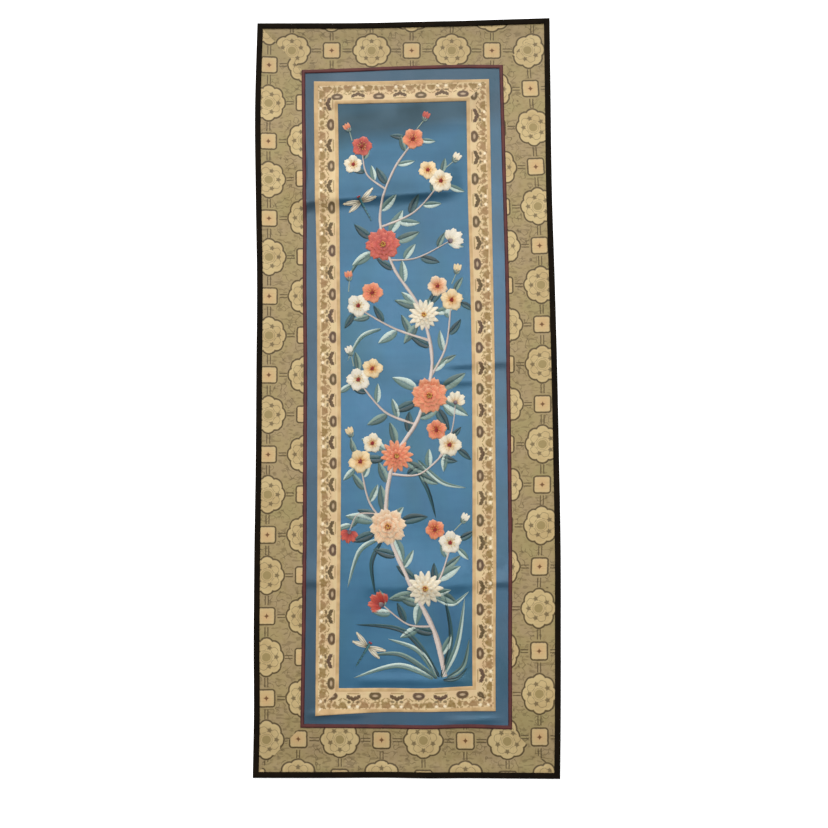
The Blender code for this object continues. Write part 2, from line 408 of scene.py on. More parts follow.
def on_cloth(tree, layer):
    """The two places of a point on its cloth, from a UV map."""
    place = tree.nodes.new("ShaderNodeUVMap")
    place.uv_map = layer
    parts = tree.nodes.new("ShaderNodeSeparateXYZ")
    tree.links.new(place.outputs[0], parts.inputs[0])
    return Measure(tree, parts.outputs["X"]), Measure(tree, parts.outputs["Y"])


WEAVE_TAKES = ("Across", "Along", "Across Pitch", "Along Pitch", "Unevenness")
WEAVE_GIVES = ("Height", "Lightness")
WEFT_HEIGHT = 0.6
SLUB_SCALE = 0.35
SLUB_DETAIL = 2.0
SLUB_DRAWN_OUT = 0.05


def weave_group():
    """Threads of a weave: their height and how light they lie, from the cloth's two places in metres."""
    made = bpy.data.node_groups.new("weave", "ShaderNodeTree")
    for name in WEAVE_TAKES:
        made.interface.new_socket(name, in_out="INPUT", socket_type="NodeSocketFloat")
    for name in WEAVE_GIVES:
        made.interface.new_socket(name, in_out="OUTPUT", socket_type="NodeSocketFloat")
    taken = made.nodes.new("NodeGroupInput")
    given = made.nodes.new("NodeGroupOutput")
    across, along, across_pitch, along_pitch, unevenness = (
        Measure(made, taken.outputs[name]) for name in WEAVE_TAKES
    )
    warp = (across / across_pitch * (2 * pi)).math("SINE")
    weft = (along / along_pitch * (2 * pi)).math("SINE")
    join = made.nodes.new("ShaderNodeCombineXYZ")
    made.links.new((across / across_pitch).socket, join.inputs["X"])
    made.links.new((along / along_pitch * SLUB_DRAWN_OUT).socket, join.inputs["Y"])
    streak = made.nodes.new("ShaderNodeTexNoise")
    streak.inputs["Scale"].default_value = SLUB_SCALE
    streak.inputs["Detail"].default_value = SLUB_DETAIL
    made.links.new(join.outputs[0], streak.inputs["Vector"])
    slub = (Measure(made, streak.outputs["Fac"]) - 0.5) * unevenness
    height = (warp + weft * WEFT_HEIGHT) * 0.5 + slub
    made.links.new(height.socket, given.inputs["Height"])
    made.links.new((height * 0.5 + slub + 0.5).socket, given.inputs["Lightness"])
    return made


WEAVE = weave_group()


def weave(tree, across, along, across_pitch, along_pitch, unevenness):
    """Place the weave group in a material: gives the threads' height and lightness."""
    node = tree.nodes.new("ShaderNodeGroup")
    node.node_tree = WEAVE
    tree.links.new(across.socket, node.inputs["Across"])
    tree.links.new(along.socket, node.inputs["Along"])
    node.inputs["Across Pitch"].default_value = across_pitch
    node.inputs["Along Pitch"].default_value = along_pitch
    node.inputs["Unevenness"].default_value = unevenness
    return [Measure(tree, node.outputs[name]) for name in WEAVE_GIVES]


def dress(tree, shader, colour, height, depth):
    """Give a shader its colour, and a height as fine relief, depth metres for each 1."""
    tree.links.new(colour, shader.inputs["Base Color"])
    bump = tree.nodes.new("ShaderNodeBump")
    bump.inputs["Strength"].default_value = 1.0
    bump.inputs["Distance"].default_value = depth
    tree.links.new(height.socket, bump.inputs["Height"])
    tree.links.new(bump.outputs[0], shader.inputs["Normal"])


def new_material(name, roughness, sheen, metallic=0.0, gleam=0.5):
    """A material's tree and its shader, with the values that are the same all over."""
    made = bpy.data.materials.new(name)
    made.use_nodes = True
    shader = made.node_tree.nodes["Principled BSDF"]
    shader.inputs["Roughness"].default_value = roughness
    shader.inputs["Metallic"].default_value = metallic
    shader.inputs["Specular IOR Level"].default_value = gleam
    shader.inputs["Sheen Weight"].default_value = sheen
    shader.inputs["Sheen Roughness"].default_value = 0.4
    return made, made.node_tree, shader


SATIN_BLUE = dye("366a8a")
SATIN_DEEP = dye("2c5a7a")
SATIN_PALE = dye("427998")
SATIN_WORN = dye("4a5f70")
SATIN_TEAL = dye("346471")
SATIN_DIM = dye("1c3b46")
SATIN_WARP = 0.00032
SATIN_WEFT = 0.00055
SATIN_RELIEF = 0.000016

# Painted shade that darkens the satin up the panel: where it begins, where it is full, and its strength
PAINTED_SHADE_UP_PANEL = ((-0.020, 0.020, 0.10), (0.125, 0.150, 0.19))
# Painted shade in a band along the low creases across the middle: where it runs up the panel, and its half
# width
FOLD_SHADE_AT = 0.016
FOLD_SHADE_HALF = 0.014


def satin_material():
    """Dyed silk satin: smooth long floats with a soft shine, cloudy with age, duller near the border, with
    painted shade up the panel and along its folds.
    """
    made, tree, shader = new_material("blue_satin", roughness=0.40, sheen=0.05, metallic=0.30)
    across, along = on_cloth(tree, "cloth")
    height, lightness = weave(tree, across, along, SATIN_WARP, SATIN_WEFT, 1.2)
    cloudy = patches(tree, 34.0, 3.0, (1.0, 0.8, 1.0)).rising(0.35, 0.68)
    broad = patches(tree, 9.0, 2.0).rising(0.36, 0.66)
    streaks = patches(tree, 60.0, 3.0, (0.30, 2.4, 1.0)).rising(0.40, 0.75)
    faded = patches(tree, 13.0, 2.0, (1.3, 0.7, 1.0)).rising(0.46, 0.70)
    # Painted shade of the fold just below the top ribbon
    head = along - across * 0.15 + (broad - 0.5) * 0.006
    head_painted_shade = head.rising(0.251, 0.272) * (cloudy * 0.15 + 0.78) * (head.rising(0.294, 0.287) * 0.25 + 0.75)
    outside = any_of(across.size().rising(0.070, 0.092), along.size().rising(0.298, 0.318))
    worn = cloudy * 0.30 + 0.60 - across.rising(-0.05, 0.05) * 0.25
    colour = layered(
        tree, SATIN_BLUE,
        (broad, SATIN_DEEP),
        (cloudy * 0.55, SATIN_PALE),
        (streaks * 0.30, SATIN_DEEP),
        (lightness.rising(0.0, 1.0) * 0.16, SATIN_PALE),
        (faded * 0.6, SATIN_TEAL),
        # Painted shade: darker up the panel
        *((along.rising(low, high) * share, SATIN_DIM) for low, high, share in PAINTED_SHADE_UP_PANEL),
        # Painted shade along the low creases
        ((along - FOLD_SHADE_AT).within(FOLD_SHADE_HALF, 0.010) * 0.18, SATIN_DIM),
        # Painted shade on the fold below the top ribbon
        (head_painted_shade, SATIN_DIM),
        (outside * worn, SATIN_WORN),
        (across.rising(-0.070, -0.090) * 0.34, SATIN_DIM),
    )
    tree.links.new((cloudy * 0.10 + 0.36).socket, shader.inputs["Roughness"])
    dress(tree, shader, colour, height, SATIN_RELIEF)
    return made


satin = satin_ground()
satin.data.materials.append(satin_material())
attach(satin, "root")
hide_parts("satin_ground")


# Branches
# The bough of the spray and its twigs, in untwisted silk floss the colour of pale bark. The stitches
# lie side by side at a slant across the bough and dive through the satin at both its edges.
MM = 0.001
STITCH = 0.00055
THREAD_RISE = 0.00010
SUNK = 0.00012
END_STRAY = 0.03
SHADE_STRAY = 0.12
STITCH_GROOVE_SHADE = 0.86
STITCH_SHADES = 0.07
KNOT_SQUASH = 0.8
KNOT_LIGHTS = (0.86, 1.06)
SILK_RELIEF = 0.00007
SILK_HOLLOW_SHADE = (0.76, 0.74, 0.71, 1.0)
TRAIL_STEPS = 40
BOUGH_ROWS = 4
BOUGH_PAD = 0.00050
BOUGH_SLANT = 0.0022
KNOB = 0.22
KNOB_LENGTH = 0.011
BARK_LIT = dye("ecdcd2")
BARK_DIM = dye("b79f93")
BARK_OLD = dye("96857a")

# Each bough: its points in millimetres from the root, and its width at the root and at the tip
BOUGHS = (
    ((38, -283), (28, -240), (2, -188), (-19, -132), (-12, -72), (14, -26), (27, 28), (15, 82), (-12, 126),
     (-25, 176), (-12, 222), (6, 250), 5.4, 2.2),
    ((14, -210), (32, -190), (43, -160), 3.0, 1.6),
    ((-18, -136), (-36, -112), (-44, -80), 2.8, 1.5),
    ((-15, -84), (14, -84), (40, -62), 2.8, 1.5),
    ((9, -34), (-20, -22), (-43, 4), 3.0, 1.6),
    ((26, 14), (41, 44), (46, 84), 2.8, 1.5),
    ((24, 50), (-10, 62), (-42, 80), 3.0, 1.6),
    ((-24, 166), (8, 180), (34, 206), 2.8, 1.4),
    ((-19, 204), (-38, 220), (-43, 244), 2.4, 1.3),
    ((27, -234), (2, -232), (-22, -214), 2.4, 1.3),
    ((-16, 132), (12, 134), (44, 150), 2.2, 1.2),
    ((33, -69), (46, -42), (50, -14), 1.8, 1.1),
    ((-29, -123), (-48, -124), (-56, -140), 1.8, 1.1),
)


def trail(points, share):
    """A point on a smooth curve through points, at a share of the way along it."""
    spans = len(points) - 1
    spot = min(int(share * spans), spans - 1)
    t = share * spans - spot
    before, start, end, after = (Vector(points[min(max(spot + step, 0), spans)]) for step in (-1, 0, 1, 2))
    return 0.5 * (
        2 * start
        + (end - before) * t
        + (2 * before - 5 * start + 4 * end - after) * t * t
        + (3 * start - before - 3 * end + after) * t ** 3
    )


def trail_length(points):
    """The length of the smooth curve through points."""
    spots = [trail(points, step / TRAIL_STEPS) for step in range(TRAIL_STEPS + 1)]
    return sum((later - earlier).length for earlier, later in zip(spots, spots[1:]))


def trail_heading(points, share):
    """Which way the smooth curve through points runs at a share of the way along it."""
    return trail(points, min(share + 0.02, 1.0)) - trail(points, max(share - 0.02, 0.0))


def towards(heading):
    """A step of one in a direction, which is an angle in radians."""
    return Vector((cos(heading), sin(heading)))


def left_of(forward):
    """The direction to the left of another."""
    return Vector((-forward.y, forward.x))


def between(colours, share):
    """A colour part of the way through a list of them."""
    place = min(max(share, 0.0), 1.0) * (len(colours) - 1)
    spot = min(int(place), len(colours) - 2)
    mixed = zip(colours[spot], colours[spot + 1])
    return tuple(first + (second - first) * (place - spot) for first, second in mixed)


class Needlework:
    """A group of embroidered motifs, gathered in one mesh with the colour and lie of every stitch."""

    def __init__(self, name):
        """Begin with no motif. The stitches' small strays are drawn from the group's name."""
        self.name = name
        self.mesh = bmesh.new()
        self.thread = self.mesh.verts.layers.float_color.new("thread")
        self.lie = self.mesh.loops.layers.uv.new("lie")
        self.knots = bmesh.new()
        self.knot_thread = self.knots.verts.layers.float_color.new("thread")
        self.knots.loops.layers.uv.new("lie")
        self.draw = Random(name)

    def lay(self, outline, count, rows, tint, pad, lift=0.0):
        """Fill an area with stitches side by side, each a thread that dives under at both ends.

        outline gives a point from the place across the stitches and the place along each, both from
        0 to 1. tint gives the silk's colour there. The padding under the middle stands it up.
        """
        made = bmesh.ops.create_grid(self.mesh, x_segments=2 * count, y_segments=rows, size=1.0)["verts"]
        strays = [self.draw.uniform(-1.0, 1.0) for _ in range(count + 1)]
        shift = self.draw.uniform(0.0, 100.0)
        lies = {}
        for vertex in made:
            column = round((vertex.co.x + 1) * count)
            row = round((vertex.co.y + 1) / 2 * rows)
            across = column / (2 * count)
            along = (1 - cos(pi * row / rows)) / 2
            stray = strays[column // 2]
            crest = column % 2
            x, y = outline(across, along + END_STRAY * stray * (2 * along - 1))
            height = -SUNK
            if 0 < column < 2 * count and 0 < row < rows:
                dome = sqrt(1 - (2 * across - 1) ** 2) * sqrt(1 - (2 * along - 1) ** 2)
                height = pad * sqrt(dome) + THREAD_RISE * crest
            vertex.co = (x, y, satin_top(x, y) + lift + height)
            # Painted shade: the grooves between stitches are darker than their crests; each stitch also
            # strays in tone at random
            light = (1 + STITCH_SHADES * stray) * (1.0 if crest else STITCH_GROOVE_SHADE)
            vertex[self.thread] = (*(light * part for part in tint(across, along + SHADE_STRAY * stray)), 1.0)
            lies[vertex] = (shift + column / 2, shift + 10 * along)
        for face in {face for vertex in made for face in vertex.link_faces}:
            for loop in face.loops:
                loop[self.lie].uv = lies[loop.vert]

    def knot(self, x, y, radius, colour, lift=0.0):
        """A small knot of silk, wound round the needle, that sits up on what it is worked on."""
        shape = {"u_segments": 8, "v_segments": 5, "radius": radius}
        made = bmesh.ops.create_uvsphere(self.knots, **shape)["verts"]
        centre = Vector((x, y, satin_top(x, y) + lift + radius * 0.5))
        light = self.draw.uniform(*KNOT_LIGHTS)
        for vertex in made:
            vertex.co = centre + Vector((vertex.co.x, vertex.co.y, vertex.co.z * KNOT_SQUASH))
            vertex[self.knot_thread] = (*(light * part for part in colour), 1.0)

    def sew_down(self, dressing):
        """Close every motif underneath, inside the satin, and make the group a piece."""
        open_edges = [edge for edge in self.mesh.edges if edge.is_boundary]
        bmesh.ops.holes_fill(self.mesh, edges=open_edges, sides=0)
        wound = bpy.data.meshes.new("knots")
        self.knots.to_mesh(wound)
        self.knots.free()
        self.mesh.from_mesh(wound)
        bpy.data.meshes.remove(wound)
        bmesh.ops.recalc_face_normals(self.mesh, faces=self.mesh.faces[:])
        made = settle(self.name, self.mesh)
        made.data.materials.append(dressing)
        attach(made, "root")
        return made


def silk_material():
    """Untwisted silk floss: many fine filaments with a soft gleam, coloured as each stitch says, and darker
    between filaments as painted shade.
    """
    made, tree, shader = new_material("silk_floss", roughness=0.42, sheen=0.08)
    thread = tree.nodes.new("ShaderNodeAttribute")
    thread.attribute_name = "thread"
    filaments = patches(tree, 1.0, 3.0, (7.0, 0.35, 1.0), layer="lie")
    # Painted shade: darker in the hollows between filaments
    dim = tree.nodes.new("ShaderNodeMix")
    dim.data_type = "RGBA"
    dim.blend_type = "MULTIPLY"
    dim.inputs[7].default_value = SILK_HOLLOW_SHADE
    tree.links.new(filaments.rising(0.62, 0.36).socket, dim.inputs[0])
    tree.links.new(thread.outputs["Color"], dim.inputs[6])
    tree.links.new((filaments * 0.30 + 0.28).socket, shader.inputs["Roughness"])
    dress(tree, shader, dim.outputs[2], filaments, SILK_RELIEF)
    return made


def bough(work, points, wide, narrow, lit, dim, pad=BOUGH_PAD, slant=BOUGH_SLANT, lift=0.0):
    """A bough or stem, worked with slanting stitches from one of its edges to the other."""
    reach = trail_length(points)
    knobs = work.draw.uniform(0.0, 50.0)

    def outline(along, over):
        """A point of a stitch that slants over the bough, at a place along it."""
        middle = trail(points, min(max(along + (over - 0.5) * slant / reach, 0.0), 1.0))
        heading = trail_heading(points, along)
        side = Vector((heading.y, -heading.x)).normalized()
        knob = 1 + KNOB * noise.noise(Vector((along * reach / KNOB_LENGTH, knobs, 0.0)))
        half = (wide + (narrow - wide) * along) / 2 * knob
        return middle + side * half * (2 * over - 1)

    def tint(_, over):
        """Lit bark on the bough's one side, dim on its other."""
        return between((lit, lit, dim), over)

    work.lay(outline, max(4, round(reach / STITCH)), BOUGH_ROWS, tint, pad, lift)


def build_branches():
    """Every bough and twig."""
    work = Needlework("embroidered_branches")
    for *points, wide, narrow in BOUGHS:
        spots = [(x * MM, y * MM) for x, y in points]
        dim = between((BARK_DIM, BARK_OLD), (wide - 1) / 3)
        bough(work, spots, wide * MM, narrow * MM, BARK_LIT, dim)
    return work.sew_down(SILK)


SILK = silk_material()
branches = build_branches()


# Leaves
# Leaves in two halves of slanting stitches, each half its own shade of teal, grey-green or mint,
# split along the midrib. They stand along the twigs and under the blossoms.
LEAF_PAD = 0.00028
LEAF_LIFT = 0.00004

# A leaf's stitches: where the first starts on the midrib and how far they run on, the same at its edge,
# and how round and how full its outline is
LEAF_ROWS = 4
RIB_FROM = 0.03
RIB_RUN = 0.90
EDGE_FROM = 0.13
EDGE_RUN = 0.87
LEAF_ROUND = 0.85
LEAF_FULL = 0.8
LEAF_SHADES = {
    "teal": (dye("2a464a"), dye("3e6366"), dye("1f3436")),
    "grey": (dye("4d6863"), dye("8aa498"), dye("39534f")),
    "mint": (dye("6b8981"), dye("cfe2d8"), dye("55756e")),
}
LEAF_KINDS = ("mint", "teal", "grey", "mint", "teal", "mint", "grey")

# How the leaves of a twig vary: their lean from it in degrees, and their width and bend as shares of
# their length. Those of a collar vary in length and bend, and start at a share of the blossom's radius.
LEAF_LEAN = (34, 62)
LEAF_WIDTH = (0.33, 0.42)
LEAF_BEND = (0.05, 0.22)
COLLAR_START = 0.7
COLLAR_REACH = (1.2, 1.5)
COLLAR_BEND = (-0.2, 0.2)
COLLAR_WIDTH = 0.38

# Leaves on each bough, in order: share of the way along, side (1 right, -1 left) and length in mm
TWIG_LEAVES = (
    ((0.05, 1, 24), (0.09, -1, 27), (0.14, -1, 24), (0.20, 1, 21), (0.22, -1, 25), (0.27, 1, 24),
     (0.33, -1, 24), (0.36, 1, 22), (0.42, -1, 22), (0.45, 1, 25), (0.53, 1, 22), (0.57, -1, 25),
     (0.62, 1, 22), (0.64, -1, 26), (0.69, 1, 24), (0.72, -1, 22), (0.76, 1, 20), (0.83, 1, 23),
     (0.88, -1, 22), (0.93, 1, 19), (0.97, -1, 19)),
    ((0.25, 1, 22), (0.45, -1, 21), (0.70, 1, 21), (0.85, -1, 17)),
    ((0.25, -1, 23), (0.50, 1, 20), (0.68, -1, 22), (0.85, 1, 17)),
    ((0.30, -1, 20), (0.48, 1, 22), (0.66, -1, 19), (0.85, 1, 18)),
    ((0.30, 1, 21), (0.45, -1, 24), (0.66, 1, 21), (0.85, -1, 18)),
    ((0.25, 1, 20), (0.42, -1, 22), (0.64, 1, 20), (0.82, -1, 17)),
    ((0.30, 1, 22), (0.46, -1, 24), (0.66, 1, 21), (0.85, -1, 18)),
    ((0.28, 1, 23), (0.46, -1, 22), (0.66, 1, 20), (0.85, -1, 17)),
    ((0.30, 1, 18), (0.55, -1, 19), (0.80, 1, 16)),
    ((0.30, -1, 22), (0.55, 1, 22), (0.80, -1, 20), (0.97, 1, 18)),
    ((0.30, -1, 20), (0.55, 1, 21), (0.80, -1, 18), (0.98, 1, 17)),
    ((0.40, 1, 16), (0.75, -1, 17)),
    ((0.45, -1, 16), (0.80, 1, 17)),
)

# Leaves that spread from under a blossom: its centre in mm, its radius, and their headings in degrees
COLLARS = (
    ((-18, -136), 19, (20, 100, 160, 205, 300)),
    ((19, -197), 18, (-20, 35, 140, 200, 250)),
    ((24, -6), 19, (-60, -25, 30, 150, 205)),
    ((-22, 148), 18, (15, 60, 150, 215)),
    ((-9, -66), 17, (95, 150, 190, 330)),
    ((19, 76), 16, (10, 60, 130, 235)),
    ((44, -152), 12, (-40, 20)),
    ((-45, -71), 12, (120, 230)),
    ((44, -55), 12, (-30, 250)),
    ((-47, 11), 12, (90, 215)),
    ((47, 91), 12, (-20, 70)),
    ((-47, 86), 12, (60, 240)),
    ((37, 212), 12, (-30, 80)),
    ((9, 257), 11, (-10, 170)),
)


def leaf(work, x, y, heading, reach, width, bend, shades, lift=LEAF_LIFT):
    """A leaf from its stalk at x, y: two halves of stitches that slant from the midrib to the edge."""
    forward = towards(heading)
    left = left_of(forward)
    start = Vector((x, y))

    def rib(share):
        """A point on the midrib, which bends to one side."""
        return start + forward * reach * share + left * bend * share * share

    for side, shade in ((1, shades[0]), (-1, shades[1])):
        def outline(along, over, side=side):
            """A point of a stitch from the rib to the leaf's edge, where it is further on."""
            root = RIB_FROM + RIB_RUN * along
            tip = EDGE_FROM + EDGE_RUN * along
            half = width / 2 * sin(pi * min(tip ** LEAF_ROUND, 1.0)) ** LEAF_FULL
            return rib(root).lerp(rib(tip) + left * side * half, over)

        def tint(_, over, shade=shade):
            """Darker at the rib."""
            return between((shades[2], shade, shade), over * 1.3 + 0.2)

        work.lay(outline, max(6, round(reach * 0.92 / STITCH)), LEAF_ROWS, tint, LEAF_PAD, lift)


# A blade: how far its stitches slant, how late it tapers, and how narrow it is until how far along
BLADE_ROWS = 3
BLADE_SLANT = 0.05
BLADE_TAPER = 3.0
BLADE_FOOT = 0.45
BLADE_GAIN = 0.55
BLADE_FULL_AT = 0.35


def blade(work, points, width, shades):
    """A long arching blade of grass, in two halves split along its rib."""
    reach = trail_length(points)
    for side, shade in ((1, shades[0]), (-1, shades[1])):
        def outline(along, over, side=side):
            """A point of a stitch from the rib to the blade's edge, where it is further on."""
            tip = min(along + BLADE_SLANT, 1.0)
            normal = left_of(trail_heading(points, tip)).normalized()
            wide = BLADE_FOOT + BLADE_GAIN * min(tip / BLADE_FULL_AT, 1.0)
            half = width / 2 * (1 - tip ** BLADE_TAPER) * wide
            return trail(points, along).lerp(trail(points, tip) + normal * side * half, over)

        def tint(along, over, shade=shade):
            """Darker at the root, and another shade at the tip."""
            return between((shades[2], shade, shade, shades[1]), along * 0.8 + over * 0.2)

        work.lay(outline, max(8, round(reach / STITCH)), BLADE_ROWS, tint, LEAF_PAD, LEAF_LIFT)


def build_leaves():
    """The leaves along every twig and round the blossoms, their kinds in turn."""
    work = Needlework("embroidered_leaves")
    kinds = cycle(LEAF_KINDS)
    for (*points, _, _), row in zip(BOUGHS, TWIG_LEAVES):
        for share, side, reach in row:
            spot = trail(points, share) * MM
            ahead = trail_heading(points, share)
            lean = radians(work.draw.uniform(*LEAF_LEAN))
            heading = atan2(ahead.y, ahead.x) - side * lean
            width = reach * work.draw.uniform(*LEAF_WIDTH)
            bend = side * reach * work.draw.uniform(*LEAF_BEND)
            shades = LEAF_SHADES[next(kinds)]
            leaf(work, spot.x, spot.y, heading, reach * MM, width * MM, bend * MM, shades)
    for centre, radius, headings in COLLARS:
        for degrees in headings:
            heading = radians(degrees)
            start = Vector(centre) + towards(heading) * radius * COLLAR_START
            reach = radius * work.draw.uniform(*COLLAR_REACH) + 2
            bend = reach * work.draw.uniform(*COLLAR_BEND)
            width = reach * COLLAR_WIDTH
            shades = LEAF_SHADES[next(kinds)]
            leaf(work, start.x * MM, start.y * MM, heading, reach * MM, width * MM, bend * MM, shades)
    return work.sew_down(SILK)


leaves = build_leaves()


# Grass
# Long arching blades at the foot of the bough and beside the lower blossoms, in mint and teal floss.

# Each blade: its points in mm from the root, its width and its shades
BLADES = (
    ((30, -284), (12, -258), (-18, -246), 6.0, "mint"),
    ((33, -284), (0, -240), (-50, -232), 6.4, "teal"),
    ((35, -284), (50, -252), (58, -206), 6.2, "mint"),
    ((34, -284), (44, -244), (36, -196), 5.6, "teal"),
    ((27, -285), (-8, -272), (-52, -284), 6.2, "mint"),
    ((31, -285), (-4, -262), (-34, -262), 5.6, "grey"),
    ((40, -284), (56, -272), (62, -246), 5.2, "grey"),
    ((36, -286), (50, -284), (60, -274), 4.6, "teal"),
    ((-26, -148), (-46, -160), (-58, -196), 5.6, "mint"),
    ((-24, -150), (-34, -172), (-30, -204), 5.2, "teal"),
    ((28, -206), (46, -212), (62, -200), 5.4, "mint"),
    ((-24, 62), (-44, 54), (-58, 30), 5.0, "mint"),
    ((12, -70), (36, -92), (60, -98), 5.4, "mint"),
    ((8, -74), (22, -100), (30, -128), 5.0, "teal"),
    ((-28, 140), (-46, 132), (-58, 112), 4.8, "grey"),
)


def build_grass():
    """Every blade."""
    work = Needlework("embroidered_grass")
    for *points, width, kind in BLADES:
        blade(work, [(x * MM, y * MM) for x, y in points], width * MM, LEAF_SHADES[kind])
    return work.sew_down(SILK)


grass = build_grass()


# Blossoms
# Peonies, chrysanthemums, plum blossoms and buds, worked petal by petal from the heart outward in long
# and short stitches that pass from one shade to the next, with knots of yellow silk for the stamens.
PETAL_PAD = 0.00036
PETAL_ROWS = 6
SIDE_SHADOW = 0.28

# A petal's outline: how round its tip is, how wide the notch is, the frill's height and waves, and its
# width at the heart and what it gains along a part of a sine
TIP_ROUND = 0.44
NOTCH_WIDTH = 0.20
FRILL = 0.02
FRILL_WAVES = 5
HEART_WIDTH = 0.28
WIDTH_GAIN = 0.72
SINE_FROM = 0.06
SINE_RUN = 0.56
# How much painted sheen lightens or darkens a petal by the way its stitches lie
PETAL_GLEAM = 0.08
PETAL_SHADES = {
    "cream": (dye("dfa26a"), dye("f3dcb0"), dye("faf0d8"), dye("f8ecd0")),
    "white": (dye("d8c596"), dye("f5ead2"), dye("fbf4e2"), dye("f4ead4")),
    "peach": (dye("d9704e"), dye("f2a878"), dye("f7cfa2"), dye("fbe3c4")),
    "coral": (dye("b43a22"), dye("e86e42"), dye("f4895a"), dye("f8b084")),
    "red": (dye("7a1c1c"), dye("b93327"), dye("cf4836"), dye("e4765c")),
    "honey": (dye("dc8a48"), dye("f4cb8c"), dye("fae2b2"), dye("f6d8a4")),
}
YOLK = dye("e8bd55")
GARNET = dye("a9332e")
CUP_SHADES = (dye("5b4450"), dye("79606a"), dye("9a8a80"))
STALK_LIT = dye("a9b7a2")
STALK_DIM = dye("6f857a")

# The petals of a blossom half open: how far each leans from the middle, its reach and how high it lies
FAN = ((1.20, 0.84, 0.0), (-1.20, 0.84, 0.0), (0.62, 0.96, 0.0001), (-0.62, 0.96, 0.0001), (0.0, 1.0, 0.0002))

# Shares of its reach: where its petals start, their width and notch, and the cup's set-back, reach and width
FAN_START = 0.08
FAN_WIDTH = 0.58
FAN_NOTCH = 0.10
CUP_BACK = 0.14
CUP_REACH = 0.36
CUP_WIDTH = 0.34
CUP_LIFT = 0.00060

# The three petals of a bud and the three leaves of its cup: how far each leans, and how high it lies
BUD_PETALS = ((0.34, 0.0), (-0.34, 0.0001), (0.0, 0.00026))
BUD_WIDTH = 0.46
BUD_LEAVES = (0.62, -0.62, 0.0)
BUD_LEAF_SET_BACK = 0.10
BUD_LEAF_REACH = 0.58
BUD_LEAF_WIDTH = 0.26
BUD_LEAF_LIFT = 0.00042
STALK_POINTS = (1.15, 0.5, -0.1)
STALK_BEND = 0.25

# How much the petals of a ring stray: their heading in radians, and their reach as a share
PETAL_SWING = (-0.05, 0.05)
PETAL_REACH = (0.95, 1.04)

# The knots at a blossom's heart: how many, how widely spread as a share of its radius, and their size
HEARTS = {"peony": (22, 0.17), "chrysanthemum": (16, 0.14), "plum": (13, 0.17)}
HEART_KNOT = 0.00062
HEART_TURN = 2.4
STAMENS = 10
STAMEN_KNOT = 0.00050

# Each ring of a kind of blossom: petals, how far out they start and end, their width (all as shares of
# the blossom's radius), the notch in their tips, and how high they lie
RINGS = {
    "peony": (
        (8, 0.18, 1.00, 0.72, 0.12, 0.00022),
        (7, 0.12, 0.70, 0.56, 0.12, 0.00062),
        (5, 0.05, 0.42, 0.42, 0.10, 0.00102),
    ),
    "chrysanthemum": (
        (14, 0.24, 1.00, 0.33, 0.02, 0.00022),
        (12, 0.18, 0.72, 0.28, 0.02, 0.00062),
        (8, 0.10, 0.42, 0.24, 0.02, 0.00102),
    ),
    "plum": ((5, 0.12, 1.00, 0.98, 0.10, 0.00022),),
}

# Each blossom: kind, shades, centre and radius in mm, and how far it is turned in degrees
BLOSSOMS = (
    ("plum", "coral", 29, -139, 10.5, 40),
    ("plum", "cream", -33, -53, 10.5, 10),
    ("plum", "coral", 31, -40, 11.0, 20),
    ("plum", "honey", -33, 22, 11.0, 5),
    ("plum", "peach", 33, 105, 11.0, 40),
    ("plum", "coral", -33, 99, 11.5, 0),
    ("plum", "honey", 24, 224, 10.5, 55),
    ("plum", "cream", -52, 231, 10.0, 20),
    ("peony", "peach", -18, -136, 19.0, 10),
    ("chrysanthemum", "cream", 19, -197, 18.0, 0),
    ("peony", "coral", 24, -6, 19.0, 25),
    ("peony", "red", -22, 148, 18.0, 5),
    ("chrysanthemum", "coral", -9, -66, 17.0, 8),
    ("chrysanthemum", "cream", 19, 76, 16.0, 4),
    ("plum", "white", 44, -152, 12.0, 20),
    ("plum", "honey", -45, -71, 12.5, 50),
    ("plum", "cream", 44, -55, 12.5, 0),
    ("plum", "white", -47, 11, 12.5, 35),
    ("plum", "honey", 47, 91, 12.0, 15),
    ("plum", "white", -47, 86, 12.5, 60),
    ("plum", "cream", 37, 212, 12.5, 30),
    ("plum", "red", -43, 250, 11.0, 5),
    ("plum", "coral", 9, 257, 11.5, 45),
)

# Each blossom half open, seen from the side: shades, where its cup sits in mm, its heading and its reach
OPENINGS = (
    ("red", -24, -213, 140, 15.0),
    ("white", 46, 151, 35, 15.0),
    ("cream", 50, -13, 75, 12.5),
    ("red", -56, -141, 260, 12.0),
)

# Each bud: shades, where it sits in mm, its heading in degrees and its length
BUDS = (
    ("white", 56, -132, 60, 10.0),
    ("honey", -54, -46, 110, 10.0),
    ("white", -54, 36, 115, 10.0),
    ("honey", 52, 118, 80, 10.0),
    ("coral", -56, 112, 100, 10.0),
    ("cream", 50, 233, 55, 10.5),
    ("red", 20, 276, 65, 9.5),
    ("coral", -56, 266, 120, 9.0),
)


def petal(work, centre, heading, start, end, width, notch, shades, lift, pad=PETAL_PAD):
    """One petal, its stitches running out from the heart of the blossom."""
    forward = towards(heading)
    left = left_of(forward)
    # Painted sheen: lighter or darker by which way the petal's stitches lie
    light = 1 + PETAL_GLEAM * cos(2 * heading - 0.7)

    def outline(across, along):
        """A point of the petal, which is narrow at the heart and notched at its tip."""
        u = 2 * across - 1
        frill = FRILL * cos(FRILL_WAVES * pi * u)
        tip = 1 - TIP_ROUND * u * u - notch * exp(-(u / NOTCH_WIDTH) ** 2) + frill
        out = start + (end - start) * along * tip
        half = width / 2 * (HEART_WIDTH + WIDTH_GAIN * sin(pi * (SINE_FROM + SINE_RUN * along)))
        return centre + forward * out + left * u * half

    def tint(across, along):
        """From the heart's shade to the tip's, in shadow at both sides."""
        shadow = 1 - SIDE_SHADOW * abs(2 * across - 1) ** 3
        return tuple(light * shadow * part for part in between(shades, along))

    work.lay(outline, max(4, round(width / STITCH)), PETAL_ROWS, tint, pad, lift)


